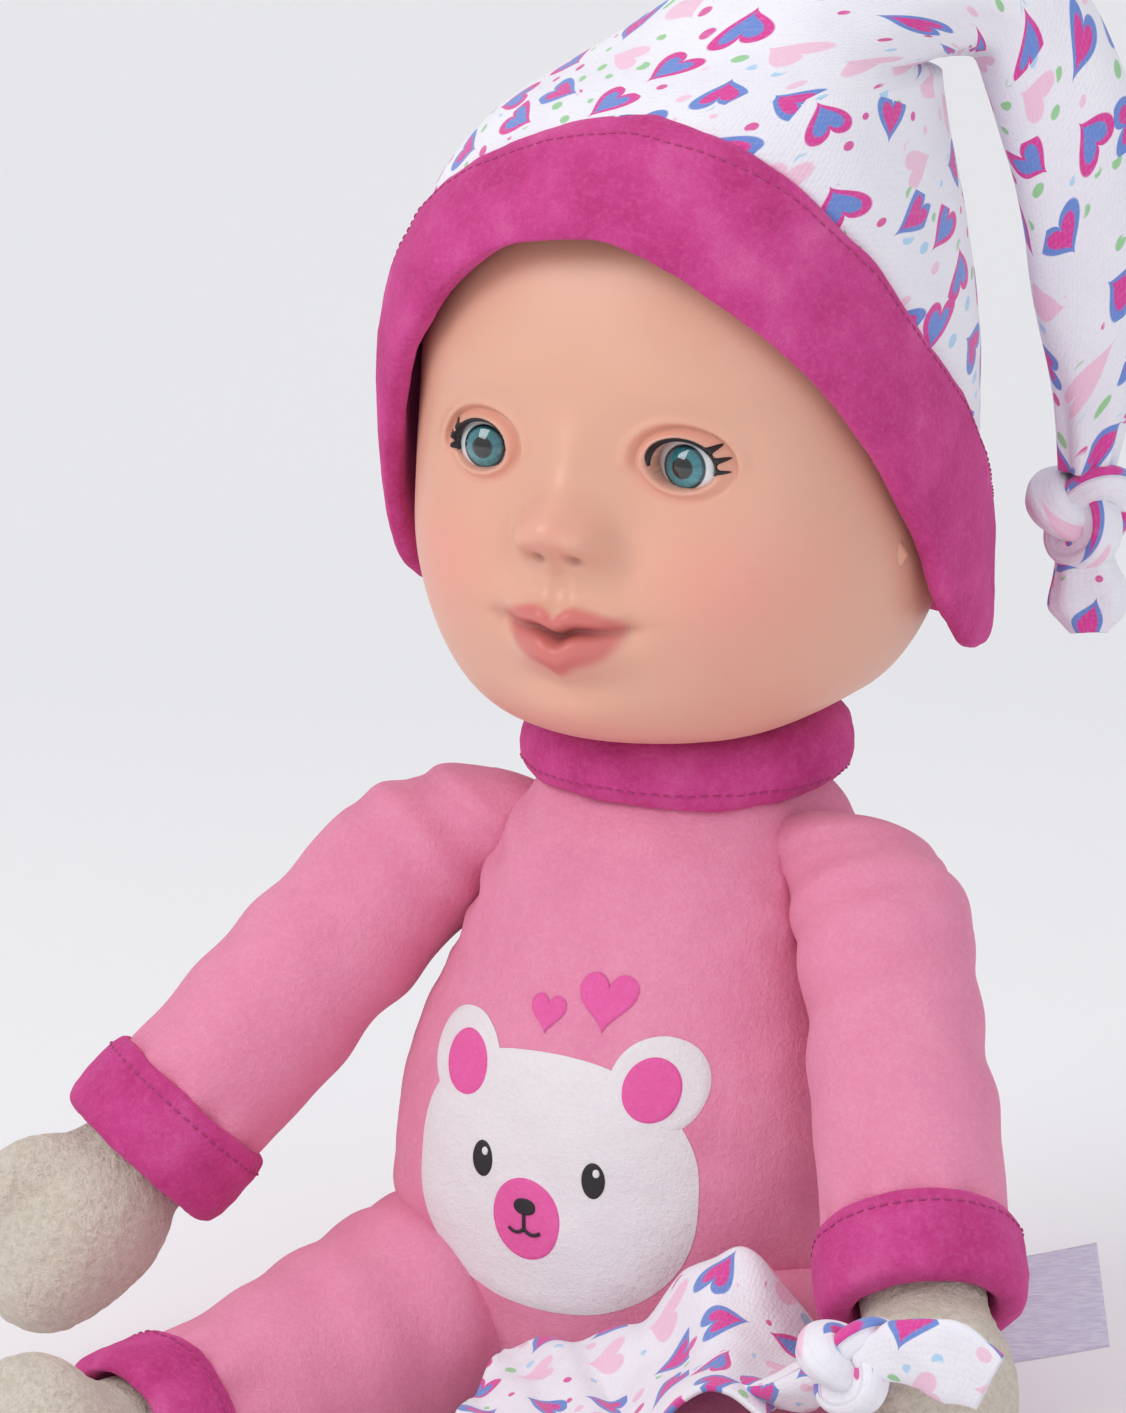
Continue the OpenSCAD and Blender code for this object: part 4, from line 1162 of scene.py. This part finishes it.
def build_label():
    """Blank satin care label, sewn into the left side seam."""
    root = np.array([53.0, -2.0, 12.0])
    along = np.array([math.cos(math.radians(34)), math.sin(math.radians(34)), 0.14])
    across = np.array([-0.11, -0.08, 1.0])
    out = unit(np.cross(along, across))
    nu, nv = 60, 30
    top, back = [], []
    for j in range(nv):
        for i in range(nu):
            u, v = i / (nu - 1), j / (nv - 1)
            p = root + along * 37 * u + across * 21.5 * v
            p = p + out * (1.1 * math.sin(2.6 * u + 0.8 * v) * u)
            top.append(p + out * 0.16)
            back.append(p - out * 0.16)
    f = grid_faces(nv, nu, wrap=False)
    m = nu * nv
    f += [tuple(m + k for k in reversed(q)) for q in f]
    rim = list(range(nu)) + [j * nu + nu - 1 for j in range(1, nv)]
    rim += [(nv - 1) * nu + i for i in range(nu - 2, -1, -1)] + [j * nu for j in range(nv - 2, 0, -1)]
    f += [(p, m + p, m + q, q) for p, q in zip(rim, rim[1:] + rim[:1])]
    o = make("blank_label", top + back, f, LABEL, "torso", ["care_label"])
    fix_normals(o)


build_label()


# ------------------------------------------------------------ cap

# degrees round from the face, lower edge, upper edge
brim_at = table([
    [-180, 155, 176], [-135, 155, 180], [-110, 156, 188], [-92, 160, 200], [-76, 170, 217],
    [-58, 191, 238], [-40, 216, 252], [-20, 236, 260], [-6, 241, 263], [12, 240, 263],
    [40, 224, 256], [62, 204, 241], [77, 185, 226], [92, 162, 208], [110, 156, 191],
    [135, 155, 180], [180, 155, 176]])
# height, half width, depth in front, depth behind, shift to the left, shift back
cap_at = table([
    [140, 52.6, 52.2, 55.8, 0, 0], [206, 52.6, 52.2, 55.8, 0, 0], [222, 51.4, 51.8, 55.4, 0, 0],
    [238, 48.4, 49.6, 54, 0.5, 0.5], [250, 44.5, 46, 50.5, 1.5, 1], [262, 37.5, 40.5, 45, 5, 4],
    [271, 28.5, 30, 34.5, 12, 9]])
BRIM_T = 5.0


def cap_point(q, z, grow):
    r = cap_at(z)
    s = -np.cos(q)
    e = np.where(s < 0, CHEEK_POWER + (1 - CHEEK_POWER) * ramp(225, 262, z), 1.0)
    x = r[..., 3] + (r[..., 0] + grow) * signed_power(np.sin(q), e)
    y = r[..., 4] + np.where(s < 0, r[..., 1] + grow, r[..., 2] + grow) * signed_power(s, e)
    return np.stack([x, y, z], -1)


def build_brim():
    n, m = 260, 56
    deg = np.linspace(-180, 180, n, endpoint=False)
    w = np.arange(m) * TAU / m
    lo_hi = brim_at(deg)
    D, W = np.meshgrid(deg, w, indexing="ij")
    lo, hi = lo_hi[:, :1], lo_hi[:, 1:]
    height = (lo + hi) / 2 - (hi - lo) / 2 * signed_power(np.sin(W), 0.62)
    grow = 0.3 + BRIM_T / 2 + (BRIM_T / 2 + 0.4) * signed_power(np.cos(W), 0.55)
    P = cap_point(np.radians(D), height, np.maximum(grow, 0.3))
    o = make("brim_velour", P, grid_faces(n, m, wrap_rows=True), MAGENTA, "cap",
             ["cap_brim"])
    fix_normals(o)
    push(o, lambda p: 0.45 * fbm(p, 12, 3, 4.0))
    seam = [cap_point(math.radians(k), np.array(float(brim_at(k)[1]) - 2.2), 6.5) for k in
            np.linspace(-179, 179, 400)]
    stitches("brim_seam", laid_on(o, seam, 0.08), THREAD_M, "cap", 2.2, 1.4, 0.2)


def build_cap_cloth():
    """Crown and tail in one knitted piece: level rings first, then rings that tip over with the tail."""
    n = 200
    q = -math.pi + np.arange(n) * TAU / n
    seam = brim_at(np.degrees(q))[:, 1] - 1.2
    rings = []
    crown_rings = 44
    for t in np.linspace(0, 1, crown_rings):
        z = seam + (266 - seam) * t
        rings.append(cap_point(q, z, 2.6 - 1.2 * bell(t, 0.05)))
    d = unit([0.75, 0.66, 0])
    h = unit([-0.66, 0.75, 0])
    # x, y, z, half width, half depth, degrees tipped over
    tail = smooth_rows([
        [13, 10, 272, 27, 30, 8], [22, 17, 278, 22, 24, 25], [31, 24, 282, 17, 19, 50],
        [40, 31, 283, 14, 15, 82], [49, 35.5, 280, 13, 11.5, 115], [56, 38.5, 269, 13, 9, 145],
        [61, 40, 254, 13.5, 8, 163], [64, 41, 238, 13, 7.5, 170], [66, 41, 222, 12, 7, 175],
        [67, 40.5, 208, 9.5, 6.5, 180], [66.5, 40, 197, 6.5, 5.5, 183], [66, 39.5, 188, 5, 5, 183]], 9)
    for k, (x, y, z, rd, rh, phi) in enumerate(tail):
        f = math.radians(phi)
        e1 = d * math.cos(f) - np.array([0, 0, 1.0]) * math.sin(f)
        t = k / (len(tail) - 1)
        fold = 1 + 0.035 * bell(t - 0.27, 0.10) * np.sin(9 * q)
        fold = fold + 0.13 * ramp(0.75, 1.0, t) * np.sin(6 * q)
        fold = fold + 0.04 * np.sin(3 * q + 5 * t) * ramp(0.3, 0.5, t)
        a = (d[0] * np.sin(q) - d[1] * np.cos(q)) * rd * fold
        b = (h[0] * np.sin(q) - h[1] * np.cos(q)) * rh * fold
        rings.append(np.array([x, y, z]) + np.outer(a, e1) + np.outer(b, h))
    P = np.array(rings)
    P = np.concatenate([P, P[:, :1]], 1)
    rise = np.linalg.norm(np.diff(P, axis=0), axis=2)
    rise[crown_rings:] = rise[crown_rings:].mean(1, keepdims=True)
    along = np.concatenate([np.zeros((1, n + 1)), np.cumsum(rise, axis=0)])
    along = along - along[crown_rings - 1]
    step = np.linalg.norm(np.diff(P, axis=1), axis=2)
    round_ = np.concatenate([np.zeros((len(P), 1)), np.cumsum(step, axis=1)], 1)
    round_ = round_ - round_[:, n // 2:n // 2 + 1]
    uv = np.stack([round_, along], -1) * MM
    o = make("cap_jersey", P, grid_faces(len(P), n + 1, wrap=False), JERSEY, "cap",
             ["cap_crown", "cap_tail"], uv=uv)
    push(o, lambda p: 0.5 * fbm(p, 22, 2, 9.0))
    thicken(o, 0.9, -1)


def build_knot(name, at, size, turn, body, nodes):
    """Overhand knot: a thick roll of cloth along a trefoil."""
    t = np.linspace(0, TAU * 1.03, 170)
    path = np.stack([np.sin(t) + 2 * np.sin(2 * t), np.cos(t) - 2 * np.cos(2 * t),
                     -1.25 * np.sin(3 * t)], -1)
    path = path * size * 0.62
    rings = sweep(path, [(size * (1 + 0.1 * math.sin(5 * k)), size * 0.82) for k in t], 30,
                  profile=lambda a: 1 + 0.07 * np.sin(4 * a) + 0.03 * np.sin(7 * a + 1))
    ca, sa = math.cos(turn[0]), math.sin(turn[0])
    cb, sb = math.cos(turn[1]), math.sin(turn[1])
    P = rings.reshape(-1, 3)
    P = np.stack([P[:, 0], P[:, 1] * ca - P[:, 2] * sa, P[:, 1] * sa + P[:, 2] * ca], -1)
    P = np.stack([P[:, 0] * cb - P[:, 1] * sb, P[:, 0] * sb + P[:, 1] * cb, P[:, 2]], -1) + at
    n = rings.shape[1]
    arc = np.arange(len(t)) / len(t) * size * 0.62 * 16
    uv = np.stack(np.meshgrid(arc, np.arange(n) / n * TAU * size, indexing="ij"), -1) * MM
    make(name, P, grid_faces(len(t), n, cap_lo=True, cap_hi=True), JERSEY, body, nodes, uv=uv)


def build_tip(name, rows, ref, body, nodes, folds=5):
    """Loose end of cloth past a knot; rows are x, y, z, half width, half depth."""
    fine = smooth_rows(rows, 8)
    n = 60
    rings = sweep(fine[:, :3], [(w, d) for w, d in fine[:, 3:5]], n, ref=ref,
                  profile=lambda a: 1 + 0.06 * np.sin(folds * a))
    arc = np.concatenate([[0], np.cumsum(np.linalg.norm(np.diff(fine[:, :3], axis=0), axis=1))])
    uv = np.stack(np.meshgrid(arc, np.arange(n) / n * 40, indexing="ij"), -1) * MM
    o = make(name, rings, grid_faces(len(fine), n, cap_lo=True, cap_hi=True), JERSEY, body, nodes,
             uv=uv)
    fix_normals(o)
    push(o, lambda p: 0.7 * fbm(p, 8, 2, 3.0))


build_brim()
build_cap_cloth()
build_knot("cap_knot_cloth", np.array([66, 39, 180.0]), 4.3, (1.35, 0.45), "cap", ["cap_knot"])
build_tip("cap_tip", [[66, 39, 177, 4, 4], [67, 38, 170, 6, 3.6], [68.5, 37, 162, 7.5, 3.2],
                      [69, 36, 156.5, 3.5, 2]], (0.5, -0.9, 0), "cap", ["cap_knot"])


# ------------------------------------------------------------ comforter

def drape(x, y):
    d = -24 - y
    c = 33 + 0.325 * d
    u = (x - c) / 21
    z = 27 + 17.5 * bell(u, 0.62) * (1 - 0.0022 * (d - 30)) + 11 * bell(y + 62, 9) * bell(x - 34, 16)
    z = z + 1.3 * np.sin(np.radians(x * 11 + y * 5)) + 5 * ramp(56, 66, x) * bell(y + 72, 14)
    return np.maximum(z, 3)


def build_comforter():
    nx, ny = 130, 80
    j, i = np.meshgrid(np.arange(ny), np.arange(nx), indexing="ij")
    v, u = j / (ny - 1) * 14, i / (nx - 1)
    y = -61.5 - v * 3.1
    x = -9 + 0.8 * v + u * (70 - 0.4 * v)
    z = drape(x, y) + 1.0
    P = np.stack([x, y, z], -1)
    z = z + 0.9 * fbm(P, 12, 2, 6.0) + 0.9 * np.sin(0.42 * (x + 0.9 * y)) * ramp(66, 30, x)
    P = np.stack([x, y, z], -1)
    across = np.linalg.norm(np.diff(P, axis=1), axis=2).sum(1).mean()
    along = np.linalg.norm(np.diff(P, axis=0), axis=2).sum(0).mean()
    uv = np.stack([u * across, j / (ny - 1) * along], -1) * MM
    o = make("comforter_jersey", P, grid_faces(ny, nx, wrap=False), JERSEY, "left_arm",
             ["comforter_cloth"], uv=uv)
    thicken(o, 1.1, 0)
    print("comforter flat, mm", round(across), round(along))


build_comforter()
build_tip("comforter_corner", [[60, -91, 41, 9, 1.6], [66, -95, 42, 7.5, 2.6], [72, -99, 46, 5.5, 3.8],
                               [80, -103, 52, 4.6, 4.2]], (0, 0.5, 1), "left_arm", ["comforter_knot"], 4)
build_knot("comforter_knot_cloth", np.array([83, -103, 54.0]), 3.7, (1.2, 0.6), "left_arm",
           ["comforter_knot"])
build_tip("comforter_ear", [[86, -103, 55, 3.6, 3.4], [94, -104, 58, 6.5, 3], [103, -104, 58, 8.4, 2.2],
                            [110, -103, 55, 6.5, 1.4]], (0, 1, 0.2), "left_arm", ["comforter_knot"], 3)


def build_ribbon():
    lo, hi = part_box("comforter_ribbon")
    mid = np.array((lo + hi) / 2) / MM
    path = [mid + (0.8 * math.sin(k / 3), -0.6 * math.cos(k / 2.5), 5.2 - k * 0.62) for k in range(18)]
    rings = sweep(smooth_rows(path, 2), [(2.6, 0.35)] * 35, 20, ref=(0, 1, 0),
                  profile=lambda a: 1 + 0.02 * np.sin(2 * a))
    make("ribbon", rings, grid_faces(len(rings), 20, cap_lo=True, cap_hi=True), RIBBON,
         "left_arm", ["comforter_ribbon"])


build_ribbon()

# ------------------------------------------------------------ floor and light

def build_stage():
    t = Tree("floor_paint")
    c = t.mix(t.noise(3, 2.0, 0.5), rgb(0.93, 0.93, 0.94), rgb(0.95, 0.95, 0.955))
    m = t.set(Base_Color=c, Roughness=0.9, Specular_IOR_Level=0.1)
    n = 24
    pts, faces = [], []
    bend = [k / n * math.pi / 2 for k in range(n + 1)]
    prof = [(-2500, 0)] + [(600 + 700 * math.sin(b), 700 - 700 * math.cos(b)) for b in bend]
    prof += [(1300, 3000)]
    for y, z in prof:
        pts += [(-3000, y, z), (3000, y, z)]
    for k in range(len(prof) - 1):
        faces.append((2 * k, 2 * k + 1, 2 * k + 3, 2 * k + 2))
    P = np.array(pts, float)
    ca, sa = math.cos(VIEW_TURN), math.sin(VIEW_TURN)
    P = np.stack([P[:, 0] * ca - P[:, 1] * sa, P[:, 0] * sa + P[:, 1] * ca, P[:, 2]], -1)
    o = make("floor", P, faces, m, None)


LOOK_AT = Vector((0, 0, 0.15))


def soft_box(name, energy, at, size, colour=(1, 1, 1)):
    d = bpy.data.lights.new(name, "AREA")
    d.energy = energy
    d.color = colour
    d.shape = "RECTANGLE"
    d.size = d.size_y = size
    o = bpy.data.objects.new(name, d)
    bpy.context.collection.objects.link(o)
    o.location = at
    o.rotation_mode = "QUATERNION"
    o.rotation_quaternion = (LOOK_AT - Vector(at)).to_track_quat("-Z", "Y")


build_stage()
soft_box("key", 6.6, (-0.55, -0.95, 0.95), 0.7, (1.0, 0.985, 0.97))
soft_box("fill", 2.6, (1.1, -0.75, 0.55), 0.9, (0.97, 0.98, 1.0))
soft_box("top", 2.2, (0.0, 0.15, 1.3), 1.0)
world = bpy.data.worlds.new("studio")
world.use_nodes = True
world.node_tree.nodes["Background"].inputs[0].default_value = (0.95, 0.96, 1.0, 1)
world.node_tree.nodes["Background"].inputs[1].default_value = 0.62
bpy.context.scene.world = world
bpy.context.scene.view_settings.view_transform = "Standard"
